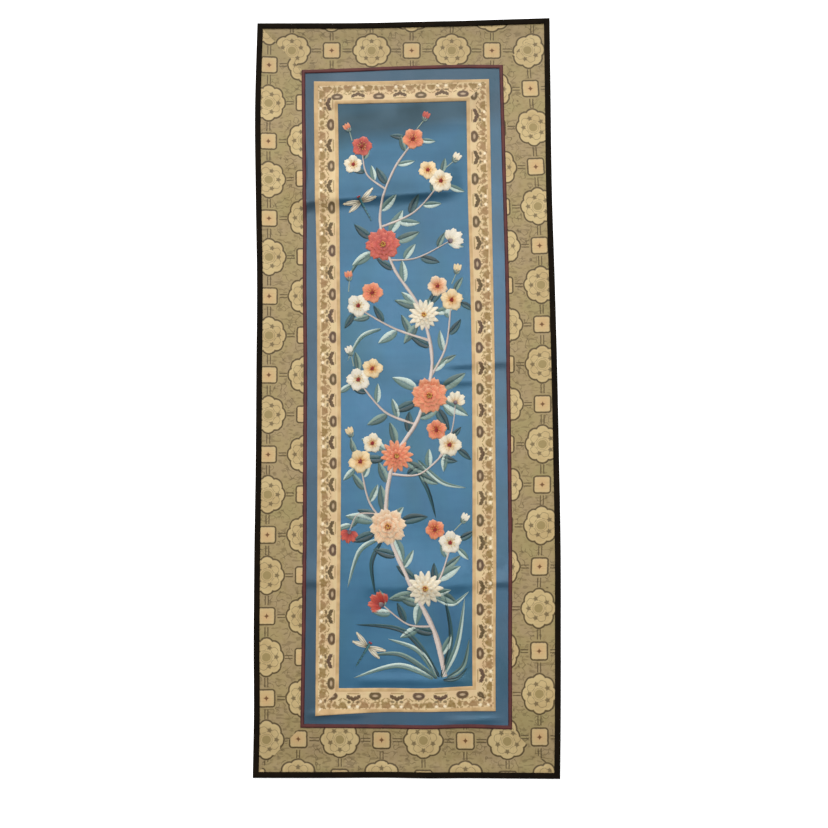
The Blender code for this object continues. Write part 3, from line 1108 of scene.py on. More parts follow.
def blossom(work, kind, shade, x, y, radius, turned):
    """A whole blossom: its rings of petals from the outer one in, then its stamens."""
    centre = Vector((x, y)) * MM
    radius *= MM
    for ring, (count, start, end, width, notch, lift) in enumerate(RINGS[kind]):
        shades = PETAL_SHADES[shade]
        for spot in range(count):
            swing = work.draw.uniform(*PETAL_SWING)
            heading = radians(turned) + 2 * pi * (spot + 0.5 * (ring % 2)) / count + swing
            reach = end * radius * work.draw.uniform(*PETAL_REACH)
            step = lift + 0.00010 * (spot % 2)
            petal(work, centre, heading, start * radius, reach, width * radius, notch, shades, step)
    top = RINGS[kind][-1][-1] + PETAL_PAD
    if kind == "plum":
        for spot in range(STAMENS):
            forward = towards(radians(turned + 18) + 2 * pi * spot / STAMENS)
            reach = radius * (0.34 if spot % 2 else 0.44)
            tip = centre + forward * reach
            ends = (centre + forward * 0.10 * radius, tip)
            bough(work, ends, 0.0005, 0.0004, YOLK, YOLK, 0.0001, 0.0, top - 0.0001)
            work.knot(tip.x, tip.y, STAMEN_KNOT, YOLK, top)
    seeds, spread = HEARTS[kind]
    for spot in range(seeds):
        away = spread * radius * sqrt((spot + 0.5) / seeds)
        x, y = centre + towards(HEART_TURN * spot) * away
        colour = YOLK if spot % 3 and kind != "plum" else GARNET
        work.knot(x, y, HEART_KNOT, colour, top)


def opening(work, shade, x, y, degrees, reach):
    """A blossom half open, seen from the side: a fan of petals over a plum-coloured cup."""
    heading = radians(degrees)
    spot = Vector((x, y)) * MM
    reach *= MM
    shades = PETAL_SHADES[shade]
    for lean, share, lift in FAN:
        width = reach * FAN_WIDTH
        petal(work, spot, heading + lean, FAN_START * reach, reach * share, width, FAN_NOTCH, shades, lift)
    back = spot - towards(heading) * reach * CUP_BACK
    petal(work, back, heading, 0.0, reach * CUP_REACH, reach * CUP_WIDTH, 0.0, CUP_SHADES, CUP_LIFT)


def bud(work, shade, x, y, degrees, reach):
    """A bud: three furled petals in a small green cup on a short stalk."""
    heading = radians(degrees)
    spot = Vector((x, y)) * MM
    reach *= MM
    forward = towards(heading)
    aside = left_of(forward) * reach * STALK_BEND
    stalk = [spot - forward * reach * part + aside * part for part in STALK_POINTS]
    bough(work, stalk, 0.0013, 0.0009, STALK_LIT, STALK_DIM, 0.0003, 0.0008, -0.00002)
    for lean, lift in BUD_PETALS:
        petal(work, spot, heading + lean, 0.0, reach, reach * BUD_WIDTH, 0.0, PETAL_SHADES[shade], lift)
    x, y = spot - forward * reach * BUD_LEAF_SET_BACK
    long = reach * BUD_LEAF_REACH
    wide = reach * BUD_LEAF_WIDTH
    for lean in BUD_LEAVES:
        leaf(work, x, y, heading + lean, long, wide, 0.0, LEAF_SHADES["grey"], BUD_LEAF_LIFT)


def build_blossoms():
    """Every blossom and bud."""
    work = Needlework("embroidered_blossoms")
    for kind, shade, x, y, radius, turned in BLOSSOMS:
        blossom(work, kind, shade, x, y, radius, turned)
    for row in OPENINGS:
        opening(work, *row)
    for row in BUDS:
        bud(work, *row)
    return work.sew_down(SILK)


blossoms = build_blossoms()


# Dragonflies
# Two dragonflies, their wings of pale silk veined with a dark thread, their bodies banded.

# Each dragonfly: where its shoulders are in mm, its heading in degrees and its length
DRAGONFLIES = ((-44, 192, 118, 27.0), (-38, -254, 58, 27.0))
WING_SHADES = (dye("c9b894"), dye("efe6cc"), dye("fbf3dd"), dye("e6d3a8"))
NIGHT = dye("1f2a2e")
KINGFISHER = dye("3f7f86")

# A dragonfly's parts, as shares of its length: each pair of wings by its swing and reach, each vein by
# its place across the wing, the points of its spine, and its bands
WINGS = ((1.22, 0.70), (1.78, 0.62))
VEINS = (-0.25, 0.25)
SPINE = (0.14, -0.10, -0.45, -0.80)
BANDS = (-0.24, -0.38, -0.52, -0.66)
BAND_HALF = 0.0010
EYE_AHEAD = 0.18
EYE_ASIDE = 0.0009
EYE = 0.0010


def dragonfly(work, x, y, degrees, reach):
    """Two pairs of wings, a banded body with its tail, and two eyes."""
    heading = radians(degrees)
    forward = towards(heading)
    shoulders = Vector((x, y)) * MM
    reach *= MM
    for side in (1, -1):
        for swing, share in WINGS:
            wing = heading + side * swing
            out = towards(wing)
            petal(work, shoulders, wing, 0.0008, reach * share, reach * 0.18, 0.0, WING_SHADES, 0.0)
            for offset in VEINS:
                sideways = left_of(out) * reach * 0.16 * offset
                vein = [
                    shoulders + out * reach * part + sideways * min(1.0, part * 4)
                    for part in (0.06, share * 0.5, share * 0.86)
                ]
                bough(work, vein, 0.0004, 0.0003, NIGHT, NIGHT, 0.00006, 0.0, 0.00042)
    spine = [shoulders + forward * reach * part for part in SPINE]
    bough(work, spine, 0.0030, 0.0013, KINGFISHER, NIGHT, 0.0006, 0.0004, 0.00020)
    for part in BANDS:
        spot = shoulders + forward * reach * part
        sideways = left_of(forward) * BAND_HALF
        bough(work, (spot - sideways, spot + sideways), 0.0007, 0.0007, NIGHT, NIGHT, 0.0002, 0.0, 0.00072)
    for side in (1, -1):
        eye = shoulders + forward * reach * EYE_AHEAD + left_of(forward) * side * EYE_ASIDE
        work.knot(eye.x, eye.y, EYE, GARNET, 0.0002)


def build_dragonflies():
    """Both dragonflies."""
    work = Needlework("embroidered_dragonflies")
    for x, y, degrees, reach in DRAGONFLIES:
        dragonfly(work, x, y, degrees, reach)
    return work.sew_down(SILK)


dragonflies = build_dragonflies()


# Ribbon
# A woven braid with gold edges and small figures in brown, olive and plum on cream. Its four lengths lie
# flat on the satin as a frame, mitred at the corners and sewn down along both edges.
RIBBON_OUTER = ("ribbon_outer", 0.0)
RIBBON_INNER = ("ribbon_inner", 0.0)
RIBBON_THICK = 0.00075
SEWN_ON = 0.00005
EDGE_ROUND = 0.00022
MITRE_GAP = 0.00001
MITRE_EASE = 0.040
RIBBON_ROW = 0.0021
RIBBON_BACK_STEPS = 4
RIBBON_WEAVE = (0.00042, 0.00034, 0.9)
WOVEN_RELIEF = 0.00006

# The length of braid that its figures repeat in, and where one ring sits on each side
RIBBON_REPEAT = 0.0428
RIBBON_FIGURES = {"left": 0.0110, "right": -0.0015, "top": 0.0172, "bottom": -0.0307}

# How far the braid's figures have slipped along its two long lengths
SLIP_COLUMNS = ("place", "left", "right")
SLIP = (
    (-0.285, 0.0007, 0.0018),
    (-0.195, -0.0007, 0.0018),
    (-0.105, -0.0020, -0.0004),
    (-0.015, -0.0006, -0.0023),
    (0.075, -0.0003, -0.0001),
    (0.165, -0.0036, -0.0005),
    (0.255, -0.0046, -0.0031),
)
SLIP_ROWS = records(SLIP_COLUMNS, SLIP)

# The braid's section: shares of its width, closer together at its raised edges
RIBBON_SHARES = (
    0.0, 0.012, 0.04, 0.10, 0.14, 0.17, 0.25, 0.34, 0.43,
    0.52, 0.61, 0.70, 0.79, 0.83, 0.87, 0.93, 0.988, 1.0,
)


def strip_spot(side, outer, inner, rise, share):
    """A point of a mitred strip: part of the way along it and part of the way from its outer line.

    Near an end it is eased over, so that the strips of two sides meet on one straight line.
    """
    axis = AXIS[side]
    upright = axis == 1

    def between_lines(along):
        """The strip's x or y at a place along it, were its end not eased."""
        return (1 - share) * seam(side, outer, along) + share * seam(side, inner, along)

    ends = []
    for end in ("bottom", "top") if upright else ("left", "right"):
        pair = (side, end) if upright else (end, side)
        spot = corner(outer, *pair).lerp(corner(inner, *pair), share)
        ends.append((spot[axis] - OUTWARD[end] * MITRE_GAP, spot[1 - axis] - between_lines(spot[axis])))
    along = ends[0][0] + (ends[1][0] - ends[0][0]) * rise
    across = between_lines(along)
    for place, miss in ends:
        across += miss * max(0.0, 1 - abs(along - place) / MITRE_EASE)
    return (across, along) if upright else (along, across)


def dressed_strip(name, side, outer, inner, row_length, section, base, on_cloth_at):
    """One closed strip of a frame. Its section is steps of share across and height over the base."""
    rows = ceil(2 * STRAIGHT[outer[0]][AXIS[side]] / row_length)

    def place(row, step):
        """A point of the strip, and its spot on the cloth."""
        share, height = section[step]
        x, y = strip_spot(side, outer, inner, row / rows, share)
        return (x, y, base(x, y) + height), on_cloth_at(x, y)

    return wrapped(name, rows, len(section), place)


def flat_section(shares, thick, back_steps, rounded):
    """A flat strip's section: its face with eased edges, then its back in a few wide steps."""
    last = len(shares) - 1
    ease = {0: rounded, 1: rounded * 0.3, last - 1: rounded * 0.3, last: rounded}
    face = [(share, thick - ease.get(spot, 0.0)) for spot, share in enumerate(shares)]
    back = [(1 - step / back_steps, 0.0) for step in range(back_steps + 1)]
    return face + back


def sewn_base(x, y):
    """Height of the underside of what is sewn on the satin."""
    return satin_top(x, y) + SEWN_ON


def ribbon(side):
    """One length of the braid, its figures spaced from where one ring sits on that side."""
    axis = AXIS[side]

    def on_cloth_at(x, y):
        """The place along the braid in repeats, and across it in mm from its inner edge."""
        along = (x, y)[axis]
        from_inner = abs((x, y)[1 - axis]) - abs(seam(side, RIBBON_INNER, along))
        slip = smooth(SLIP_ROWS, side, along) if axis else 0.0
        return (along + slip - RIBBON_FIGURES[side]) / RIBBON_REPEAT, from_inner * 1000

    section = flat_section(RIBBON_SHARES, RIBBON_THICK, RIBBON_BACK_STEPS, EDGE_ROUND)
    return dressed_strip(
        f"ribbon_{side}_braid", side, RIBBON_OUTER, RIBBON_INNER, RIBBON_ROW, section, sewn_base, on_cloth_at
    )


RIBBON_CREAM = dye("e4cb9a")
RIBBON_BLUSH = dye("dcb68c")
RIBBON_GOLD = dye("dcb985")
RIBBON_GOLD_DIM = dye("bf9c6b")
RIBBON_KHAKI = dye("886b2c")
RIBBON_TAN = dye("956f40")
RIBBON_BROWN = dye("452a0d")
RIBBON_OLIVE = dye("48360c")
RIBBON_PLUM = dye("43271d")
RIBBON_PALE = dye("c8ae8c")
RIBBON_DOT = dye("fdeccb")
# Near-black that darkens the braid towards the top and the border towards both ends of the panel
DARKER_AT_ENDS = dye("060402")


# The braid's oval figures in mm: how far along from its own middle and how far from the braid's inner
# edge each lies, its half length and half width, and its border's softness as a share of its size
OVALS = {
    "ring": (0.0, 7.4, 6.0, 4.1, 0.10),
    "ring_heart": (0.0, 7.6, 2.6, 1.15, 0.35),
    "bud": (4.4, 13.4, 1.9, 1.2, 0.3),
    "heart": (0.0, 17.2, 2.4, 1.7, 0.3),
    "leaf": (0.0, 19.6, 4.4, 6.6, 0.12),
    "sprig": (2.6, 16.4, 2.1, 2.2, 0.35),
    "dot": (4.1, 17.9, 1.5, 1.3, 0.3),
}


def spot_mask(first, second, first_half, second_half, soft):
    """1 inside an oval about zero, with a soft border. The border is a share of the oval's size."""
    return (length(first / first_half, second / second_half) - 1.0).inside(soft)


def oval(name, along, across):
    """1 inside one of the braid's oval figures."""
    place_along, place_across, half_length, half_width, soft = OVALS[name]
    return spot_mask(along - place_along, across - place_across, half_length, half_width, soft)


def up_the_panel(tree):
    """How far a point lies from the panel's middle towards the top of its design, in metres."""
    parts = tree.nodes.new("ShaderNodeSeparateXYZ")
    tree.links.new(tree.nodes.new("ShaderNodeTexCoord").outputs["Object"], parts.inputs[0])
    return Measure(tree, parts.outputs["Y"])


def ribbon_material():
    """The braid: rings and winged figures turn about along the inner side, leaves along the outer."""
    made, tree, shader = new_material("woven_braid", roughness=0.60, sheen=0.04)

    # Where a point lies: from the nearest ring, from the nearest winged figure, from halfway, and across
    unit, out = on_cloth(tree, "cloth")
    repeat = RIBBON_REPEAT * 1000
    wobble = (patches(tree, 900.0, 2.0) - 0.5) * 1.1
    whole = unit.math("ROUND")
    ring = (unit - whole) * repeat + wobble
    across = out + wobble * 0.6
    wing = (ring.size() * -1.0) + repeat / 2
    middle = (ring.size() - repeat / 4).size()

    # The figures, each a mask laid out in mm
    ring_shape = oval("ring", ring, across) * across.rising(3.9, 4.5)
    spur = ring.within(0.7, 0.3) * across.rising(10.9, 11.3) * across.rising(13.0, 12.4)
    ring_heart = oval("ring_heart", ring, across)
    slope = across - 10.6 + wing * 0.40
    knobs = (wing * 2.1).math("COSINE") * 0.35
    wings = (slope.size() + knobs - 1.95).inside(0.30) * wing.rising(7.1, 6.5)
    stalk = wing.within(0.8, 0.3) * across.rising(11.0, 11.6) * across.rising(14.6, 14.0)
    buds = oval("bud", wing, across)
    shade = (across - 5.2).within(0.55, 0.45) * wing.rising(6.4, 5.6)
    heart = oval("heart", wing, across)
    leaves = oval("leaf", middle, across) * across.rising(19.4, 18.8)
    tendril = (across - 9.4 - middle * 0.58).within(0.42, 0.3)
    tendril = tendril * middle.rising(4.6, 4.0) * middle.rising(0.5, 0.9)
    sprigs = oval("sprig", ring.size(), across)
    dots = oval("dot", wing, across)
    flecks = patches(tree, 360.0, 1.0).rising(0.52, 0.58) * across.rising(9.0, 12.5)
    gold = any_of(out.rising(3.5, 3.2), out.rising(20.2, 20.5))

    # The silks: each figure's dark shade is drawn by its place along the braid
    dice = tree.nodes.new("ShaderNodeTexWhiteNoise")
    dice.noise_dimensions = "1D"
    tree.links.new((unit * 2.0).math("ROUND").socket, dice.inputs["W"])
    luck = Measure(tree, dice.outputs["Value"])
    dark = blend(tree, luck.rising(0.30, 0.42), RIBBON_BROWN, RIBBON_OLIVE)
    dark = blend(tree, luck.rising(0.68, 0.78), dark, RIBBON_PLUM)
    soil = patches(tree, 90.0, 3.0).rising(0.38, 0.66)
    leafy = blend(tree, patches(tree, 60.0, 1.0).rising(0.42, 0.58), RIBBON_KHAKI, RIBBON_TAN)
    edge = blend(tree, soil, RIBBON_GOLD, RIBBON_GOLD_DIM)
    height, lightness = weave(tree, out * MM, unit * RIBBON_REPEAT, *RIBBON_WEAVE)
    colour = layered(
        tree, RIBBON_CREAM,
        (soil * 0.6, RIBBON_BLUSH),
        (any_of(leaves * 0.85, sprigs * 0.85, heart * 0.7, tendril, shade * 0.75), leafy),
        (flecks * 0.80, leafy),
        (any_of(buds, stalk) * 0.75, RIBBON_OLIVE),
        (any_of(ring_shape, wings, spur * 0.8) * 0.97, dark),
        (ring_heart * 0.9, RIBBON_PALE),
        (dots, RIBBON_DOT),
        (gold, edge),
        (lightness.rising(0.75, 0.05) * 0.28, RIBBON_GOLD_DIM),
        # Darker towards the top of the panel
        (up_the_panel(tree).rising(0.280, 0.300) * 0.12, DARKER_AT_ENDS),
    )
    figures = any_of(ring_shape, wings, gold, leaves * 0.6)
    dress(tree, shader, colour, height * 0.5 + figures * 1.3, WOVEN_RELIEF)
    return made


def mitred_flat(side, outer, inner):
    """A mitred strip's flat size, and its area once its ends are cut, from its two seams' names."""
    outer_length = 2 * STRAIGHT[outer][AXIS[side]]
    inner_length = 2 * STRAIGHT[inner][AXIS[side]]
    width = STRAIGHT[outer][0] - STRAIGHT[inner][0]
    return (width, outer_length), width * (outer_length + inner_length) / 2


braid = ribbon_material()
for side in SIDES:
    piece = ribbon(side)
    piece.data.materials.append(braid)
    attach(piece, "root")
    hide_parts(f"ribbon_{side}")
    flat_size, cut = mitred_flat(side, "ribbon_outer", "ribbon_inner")


# Brocade
# The border, four lengths of figured brocade: lobed medallions and rounded squares in turn, joined by
# double lines, on a khaki ground. It is mitred at the corners and runs under the binding and the fillet.
BINDING_THICK = 0.0010
UNDER_BINDING = 0.0003
BROCADE_OUTER = ("edge", -BINDING_THICK - UNDER_BINDING)
BROCADE_INNER = ("fillet", FILLET_WIDTH / 2 + 0.0001)
BROCADE_ROW = 0.0030
BROCADE_STEPS = 17
BROCADE_BACK_STEPS = 9
BROCADE_WEAVE = (0.00050, 0.00038, 0.9)

# How far it lifts over the binding's back leg, and how far in from the edge the lift starts and ends
LIFT = BINDING_THICK + UNDER_BINDING
LIFT_TOP = 0.0072
LIFT_FOOT = 0.0190

# The woven pattern: figures 41 mm apart along a strip, drawn out a little otherwise on each, and 36.5 mm
# apart across it
FIGURE_WOVEN = 0.041
FIGURE_ALONG = {"left": 0.04001, "right": 0.04044, "top": 0.04107, "bottom": 0.04094}
FIGURE_ACROSS = 0.0365
FIRST_MEDALLION = {"left": 0.29645, "right": 0.34821, "top": -0.11532, "bottom": -0.06550}
SHORT_ROWS = {"top": ((-0.116, 0.3515), (0.131, 0.3474)), "bottom": ((-0.100, -0.3432), (0.131, -0.3453))}

# Where the middle row of figures runs down the two long strips, which were cut a little off the grain,
# and how far the figures of the right strip have slipped along it
GRAIN_COLUMNS = ("place", "left", "right", "slip")
GRAIN = (
    (-0.340, -0.1377, 0.1297, 0.0016),
    (-0.260, -0.1382, 0.1303, -0.0003),
    (-0.210, -0.1381, 0.1305, -0.0016),
    (-0.097, -0.1376, 0.1353, -0.0016),
    (0.065, -0.1372, 0.1373, 0.0000),
    (0.186, -0.1380, 0.1347, 0.0010),
    (0.267, -0.1390, 0.1310, 0.0002),
    (0.348, -0.1385, 0.1261, 0.0004),
)
GRAIN_ROWS = records(GRAIN_COLUMNS, GRAIN)


def edge_lift(x, y):
    """Height that the border gains near the panel's edge, over the binding's back leg."""
    edge = ("edge", 0.0)
    inward = min(
        seam("right", edge, y) - x,
        x - seam("left", edge, y),
        seam("top", edge, x) - y,
        y - seam("bottom", edge, x),
    )
    fall = min(max((inward - LIFT_TOP) / (LIFT_FOOT - LIFT_TOP), 0.0), 1.0)
    return LIFT * (1 + cos(pi * fall)) / 2


def brocade_base(x, y):
    """Height of the brocade's underside."""
    return ground(x, y) + edge_lift(x, y)


def figure_place(side, x, y):
    """A point's place in the pattern, counted in figures along and across, the same way round as woven."""
    first = FIRST_MEDALLION[side]
    pitch = FIGURE_ALONG[side]
    if side == "left":
        return (first - y) / pitch, (x - smooth(GRAIN_ROWS, "left", y)) / FIGURE_ACROSS
    if side == "right":
        slip = smooth(GRAIN_ROWS, "slip", y)
        return (y + slip - first) / pitch, (smooth(GRAIN_ROWS, "right", y) - x) / FIGURE_ACROSS
    (x_left, y_left), (x_right, y_right) = SHORT_ROWS[side]
    row = y_left + (y_right - y_left) * (x - x_left) / (x_right - x_left)
    return OUTWARD[side] * (x - first) / pitch, OUTWARD[side] * (y - row) / FIGURE_ACROSS


def brocade(side):
    """One length of the border."""
    shares = [step / BROCADE_STEPS for step in range(BROCADE_STEPS + 1)]
    section = flat_section(shares, CLOTH, BROCADE_BACK_STEPS, 0.0)
    return dressed_strip(
        f"brocade_{side}_cloth", side, BROCADE_OUTER, BROCADE_INNER, BROCADE_ROW, section,
        brocade_base, partial(figure_place, side),
    )


BROCADE_KHAKI = dye("aa9564")
BROCADE_ROSE = dye("aa9369")
BROCADE_MOSS = dye("a2935e")
BROCADE_SHADE = dye("877141")
BROCADE_LINE = dye("453410")
BROCADE_CREAM = dye("c6ab75")
BROCADE_PALE = dye("d4bb84")
BROCADE_DISC = dye("98844e")
BROCADE_SQUARE = dye("d4b983")
BROCADE_GLOW = dye("d68d54")
BROCADE_STAR = dye("70461c")
EIGHTH = pi / 8
FIFTH = pi / 5

# A medallion's lobes, as shares of its half length and half width in mm: where each is centred, how far
# it reaches, and the round that closes the gaps between them
MEDALLION_HALF = (19.4, 17.2)
MEDALLION_MEAN = 18.0
LOBE_AT = 0.58
LOBE_REACH = 0.42
MEDALLION_ROUND = 0.84

# What is inside a medallion, in mm: its florets, the arcs that join them, its disc and its ring
FLORETS_AT = 9.8
FLORET_REACH = 2.1
FLORET_WAVE = 0.45
ARC_ASIDE = 5.4
ARC_IN = 1.2
ARC_REACH = 3.1
DISC_REACH = 4.3
RING_REACH = 5.6

# A square, in mm: its straight half sides, its corners' round, and its star. Then the bars between figures
SQUARE_HALF = (5.9, 5.5)
SQUARE_ROUND = 2.6
STAR_POWER = 0.6
STAR_REACH = 2.0
BAR_ASIDE = 1.45
BAR_HALF = 0.50


def turn_within(angle, half):
    """An angle brought to within half either side of zero, by whole turns of twice half."""
    return angle.math("WRAP", half, -half)


def brocade_material():
    """The border's figures and ground, woven in coloured silks, with a fine rib."""
    made, tree, shader = new_material("figured_brocade", roughness=0.60, sheen=0.04)
    unit_along, unit_across = on_cloth(tree, "cloth")
    cell_along = unit_along.math("ROUND")
    cell_across = unit_across.math("ROUND")
    wobble = (patches(tree, 420.0, 2.0) - 0.5) * 0.9
    p = (unit_along - cell_along) * (FIGURE_WOVEN / MM) + wobble
    q = (unit_across - cell_across) * (FIGURE_ACROSS / MM) + wobble
    odd = (cell_along + cell_across).math("FLOORED_MODULO", 2.0)
    square_cell = odd.rising(0.4, 0.6)
    medallion_cell = odd.rising(0.6, 0.4)

    # Medallion: eight lobes, an outline, a pale rim, five florets joined by arcs, a ringed disc
    a = p / MEDALLION_HALF[0]
    b = q / MEDALLION_HALF[1]
    reach = length(a, b)
    lobe_turn = turn_within(b.math("ARCTAN2", a), EIGHTH)
    lobe = length(lobe_turn.math("COSINE") * reach - LOBE_AT, lobe_turn.math("SINE") * reach) - LOBE_REACH
    medallion = lobe.math("MINIMUM", reach - MEDALLION_ROUND) * MEDALLION_MEAN
    far = length(p, q)
    row_turn = cell_across.math("FLOORED_MODULO", 2.0) * -2.0 + 1.0
    floret_turn = turn_within(p.math("ARCTAN2", q * row_turn), FIFTH)
    floret_out = floret_turn.math("COSINE") * far - FLORETS_AT
    floret_side = floret_turn.math("SINE") * far
    petals = (floret_side.math("ARCTAN2", floret_out) * 5.0).math("COSINE") * FLORET_WAVE
    floret = (length(floret_out, floret_side) - FLORET_REACH - petals).inside(0.55)
    arc = (length(floret_side.size() - ARC_ASIDE, floret_out + ARC_IN) - ARC_REACH).within(0.22, 0.25)
    arc = arc * (floret_side.size() - 2.4).rising(0.0, 0.5)
    disc = (far - DISC_REACH).inside(0.4)
    ring = (far - RING_REACH).within(0.20, 0.25)

    # Square: rounded, outlined, with a small star that glows orange
    corner_along = (p.size() - SQUARE_HALF[0]).math("MAXIMUM", 0.0)
    corner_across = (q.size() - SQUARE_HALF[1]).math("MAXIMUM", 0.0)
    square = length(corner_along, corner_across) - SQUARE_ROUND
    star = p.size().math("POWER", STAR_POWER) + q.size().math("POWER", STAR_POWER) - STAR_REACH
    glow = spot_mask(p - 1.0, q + 0.5, 5.2, 4.6, 0.9)

    # Double lines between neighbours, only where no figure is
    shape = medallion.math("MULTIPLY", medallion_cell) + square * square_cell
    bars = any_of(*((place.size() - BAR_ASIDE).within(BAR_HALF, 0.25) for place in (p, q)))
    bars = bars * shape.rising(2.0, 2.9)
    inside_medallion = medallion_cell * medallion.inside(0.25)
    inside_square = square_cell * square.inside(0.25)
    outline = shape.within(0.80, 0.32)
    rim = (shape + 1.9).within(0.45, 0.35) * medallion_cell

    # Ground: cloudy khaki with scraps of scrolls and short dashes
    hue = patches(tree, 30.0, 2.0)
    scroll = (patches(tree, 165.0, 0.5) - 0.5).within(0.020, 0.018)
    scroll = scroll * patches(tree, 75.0, 0.0).rising(0.44, 0.54)
    dashes = patches(tree, 330.0, 0.0, (0.6, 1.3, 1.0)).rising(0.62, 0.68)
    away = shape.rising(1.6, 2.4)
    mottle = patches(tree, 210.0, 3.0).rising(0.50, 0.72)

    # The silks, from the ground up
    fill = layered(
        tree, BROCADE_CREAM,
        (hue.rising(0.40, 0.62), BROCADE_PALE),
        (disc * 0.85, BROCADE_DISC),
        (any_of(floret, arc, ring * 0.8) * 0.75, BROCADE_LINE),
    )
    warm = blend(tree, glow * 0.32, BROCADE_SQUARE, BROCADE_GLOW)
    warm = blend(tree, star.inside(0.25), warm, BROCADE_STAR)
    height, lightness = weave(tree, unit_along * FIGURE_WOVEN, unit_across * FIGURE_ACROSS, *BROCADE_WEAVE)
    colour = layered(
        tree, BROCADE_KHAKI,
        (hue.rising(0.48, 0.60), BROCADE_ROSE),
        (hue.rising(0.45, 0.36) * 0.7, BROCADE_MOSS),
        (mottle * 0.45, BROCADE_SHADE),
        (any_of(scroll * 0.72, dashes * 0.34) * away, BROCADE_LINE),
        (inside_medallion, fill),
        (inside_square, warm),
        (rim * 0.7, BROCADE_PALE),
        (bars * 0.90, BROCADE_LINE),
        (outline * 0.95, BROCADE_LINE),
        (lightness.rising(0.70, 0.0) * 0.25, BROCADE_SHADE),
        # Darker towards both ends of the panel
        (up_the_panel(tree).size().rising(0.300, 0.345) * 0.11, DARKER_AT_ENDS),
    )
    raised = any_of(inside_medallion, inside_square) * 1.6 - any_of(outline, bars) * 1.2
    dress(tree, shader, colour, height * 0.5 + raised, WOVEN_RELIEF)
    return made


figured = brocade_material()
BROCADES = {side: brocade(side) for side in SIDES}
for side, piece in BROCADES.items():
    piece.data.materials.append(figured)
    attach(piece, "root")
    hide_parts(f"brocade_{side}")


# Fillet
# A narrow strip of maroon silk, folded lengthwise and let into the seam between satin and brocade, where
# it stands up a little as a rounded band.
FILLET_OUTER = ("fillet", FILLET_WIDTH)
FILLET_INNER = ("fillet", 0.0)
FILLET_HEIGHT = 0.00095
FILLET_ROW = 0.0030
FILLET_SHARES = (0.0, 0.06, 0.22, 0.40, 0.60, 0.78, 0.94, 1.0)
FILLET_WEAVE = (0.00040, 0.00036, 1.0)
FILLET_RELIEF = 0.00004
FILLET_MAROON = dye("5c2a2c")
FILLET_DARK = dye("402026")
FILLET_RIDGE_PALE = dye("7a4638")


def fillet(side):
    """One length of the fillet, its face a low round."""
    axis = AXIS[side]
    rounds = [(share, sqrt(1 - abs(2 * share - 1) ** 3)) for share in FILLET_SHARES]
    face = [(share, FILLET_HEIGHT * (0.30 + 0.70 * up)) for share, up in rounds]
    section = face + [(1.0, 0.0), (0.5, 0.0), (0.0, 0.0)]

    def on_cloth_at(x, y):
        """The place along the fillet and across it from its inner edge, in metres."""
        across = abs((x, y)[1 - axis]) - abs(seam(side, FILLET_INNER, (x, y)[axis]))
        return (x, y)[axis], across

    return dressed_strip(
        f"fillet_{side}_band", side, FILLET_OUTER, FILLET_INNER, FILLET_ROW, section, sewn_base, on_cloth_at
    )


def fillet_material():
    """Maroon silk, paler along the top of its fold."""
    made, tree, shader = new_material("maroon_silk", roughness=0.60, sheen=0.02, gleam=0.3)
    along, across = on_cloth(tree, "cloth")
    height, lightness = weave(tree, along, across, *FILLET_WEAVE)
    cloudy = patches(tree, 70.0, 4.0).rising(0.40, 0.66)
    ridge = (across - FILLET_WIDTH / 2).size().rising(0.0012, 0.0002)
    colour = layered(
        tree, FILLET_MAROON,
        (cloudy, FILLET_DARK),
        # Paler along the top of the fold
        (ridge * 0.45, FILLET_RIDGE_PALE),
        (lightness.rising(0.7, 0.0) * 0.3, FILLET_DARK),
    )
    dress(tree, shader, colour, height, FILLET_RELIEF)
    return made


maroon = fillet_material()
for side in SIDES:
    piece = fillet(side)
    piece.data.materials.append(maroon)
    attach(piece, "root")
    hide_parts(f"fillet_{side}")
    flat_size, cut = mitred_flat(side, "edge", "fillet")


# Binding
# A strip of near-black cotton folded round the edge of the border and sewn down on both its faces, with
# a mitre at each corner.
BINDING_WIDTH = 0.0060
BINDING_ROW = 0.0030
BINDING_WEAVE = (0.00045, 0.00045, 0.8)
BINDING_RELIEF = 0.00008

# The section, a soft C open towards the panel: distance in from the edge, and height
BINDING_SECTION = (
    (0.0060, 0.0000), (0.0035, 0.0000), (0.0009, 0.0000), (0.00035, 0.00012), (0.00005, 0.0006),
    (0.0, 0.0018), (0.00005, 0.0029), (0.0003, 0.00335), (0.0008, 0.00355), (0.0020, 0.00364),
    (0.0036, 0.00360), (0.0051, 0.00346), (0.0057, 0.00325), (0.0060, 0.00295), (0.0059, 0.00262),
    (0.0035, 0.0026), (0.0010, 0.0026), (0.0010, 0.0010), (0.0035, 0.0010), (0.0060, 0.0010),
)
BINDING_BLACK = dye("120d06")
BINDING_BROWN = dye("1a1208")
BINDING_DUST = dye("261d12")


def binding(side):
    """One length of the binding."""
    section = [(inset / BINDING_WIDTH, height) for inset, height in BINDING_SECTION]
    return dressed_strip(
        f"binding_{side}_tape", side, ("edge", 0.0), ("edge", -BINDING_WIDTH), BINDING_ROW, section,
        ground, lambda x, y: (x, y),
    )


def binding_material():
    """Near-black plain cotton, with a little dust in its weave."""
    made, tree, shader = new_material("black_cotton", roughness=0.85, sheen=0.0, gleam=0.10)
    along, across = on_cloth(tree, "cloth")
    height, lightness = weave(tree, along, across, *BINDING_WEAVE)
    colour = layered(
        tree, BINDING_BLACK,
        (patches(tree, 40.0, 2.0).rising(0.42, 0.62), BINDING_BROWN),
        (patches(tree, 150.0, 4.0).rising(0.50, 0.80) * 0.35, BINDING_DUST),
        (lightness.rising(0.3, 1.0) * 0.15, BINDING_DUST),
    )
    dress(tree, shader, colour, height, BINDING_RELIEF)
    return made


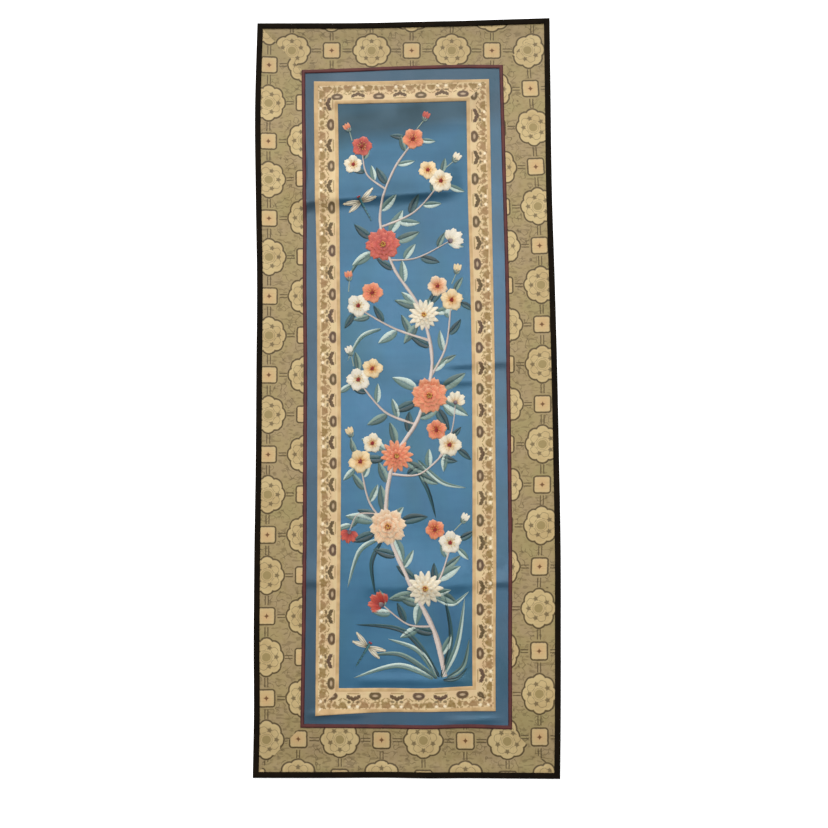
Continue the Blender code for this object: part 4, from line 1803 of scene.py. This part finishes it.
cotton = binding_material()
section_length = sum(
    hypot(later[0] - earlier[0], later[1] - earlier[1])
    for earlier, later in zip(BINDING_SECTION, BINDING_SECTION[1:] + BINDING_SECTION[:1])
)
for side in SIDES:
    piece = binding(side)
    piece.data.materials.append(cotton)
    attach(piece, "root")
    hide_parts(f"binding_{side}")
    flat_size = (section_length / 2, 2 * STRAIGHT["edge"][AXIS[side]])


# Floor, light and camera
# A plain pale floor under the panel, a large soft light beyond its top edge, another overhead, and the
# photograph's camera, which looks almost straight down from a little below the middle.
FLOOR_SIZE = 6.0
FLOOR_DROP = 0.0003
FLOOR_PALE = dye("fbfbfa")
WORLD_STRENGTH = 0.14
FLOOR_GLOW = 0.75
LIGHTS = (
    ("window_light", (-0.7, 6.5, 4.5), 3.8, 490.0),
    ("ceiling_light", (0.05, 0.42, 2.30), 1.2, 27.0),
)
CAMERA_EYE = Vector((0.04332, -0.11212, 1.14680))
CAMERA_AIM = Vector((0.00858, -0.02391, 0.0))
CAMERA_ROLL = radians(-0.256)
LENS = 50.0

floor_mesh = bmesh.new()
bmesh.ops.create_grid(floor_mesh, x_segments=1, y_segments=1, size=FLOOR_SIZE / 2)
bmesh.ops.translate(floor_mesh, verts=floor_mesh.verts[:], vec=(0.0, 0.0, -FLOOR_DROP))
floor = settle("floor", floor_mesh)
paper, _, paper_shader = new_material("pale_floor", roughness=0.9, sheen=0.0)
paper_shader.inputs["Base Color"].default_value = (*FLOOR_PALE, 1.0)
paper_shader.inputs["Emission Color"].default_value = (1.0, 1.0, 1.0, 1.0)
paper_shader.inputs["Emission Strength"].default_value = FLOOR_GLOW
floor.data.materials.append(paper)

scene = bpy.context.scene
world = bpy.data.worlds.new("soft_room")
world.use_nodes = True
world.node_tree.nodes["Background"].inputs["Color"].default_value = (1.0, 1.0, 1.0, 1.0)
world.node_tree.nodes["Background"].inputs["Strength"].default_value = WORLD_STRENGTH
scene.world = world
scene.view_settings.view_transform = "Standard"

for name, place, size, power in LIGHTS:
    light = bpy.data.lights.new(name, "AREA")
    light.size = size
    light.energy = power
    lamp = bpy.data.objects.new(name, light)
    lamp.location = place
    lamp.rotation_euler = (-Vector(place)).to_track_quat("-Z", "Y").to_euler()
    scene.collection.objects.link(lamp)

sight = (CAMERA_AIM - CAMERA_EYE).normalized()
right = sight.cross(Vector((0.0, 1.0, 0.0))).normalized()
upward = right.cross(sight)
stand = bpy.data.cameras.new("photo_camera")
stand.lens = LENS
camera = bpy.data.objects.new("photo_camera", stand)
turn = Matrix((right, upward, -sight)).transposed().to_quaternion()
camera.rotation_mode = "QUATERNION"
camera.rotation_quaternion = turn @ Quaternion((0.0, 0.0, 1.0), CAMERA_ROLL)
camera.location = CAMERA_EYE
scene.collection.objects.link(camera)
scene.camera = camera
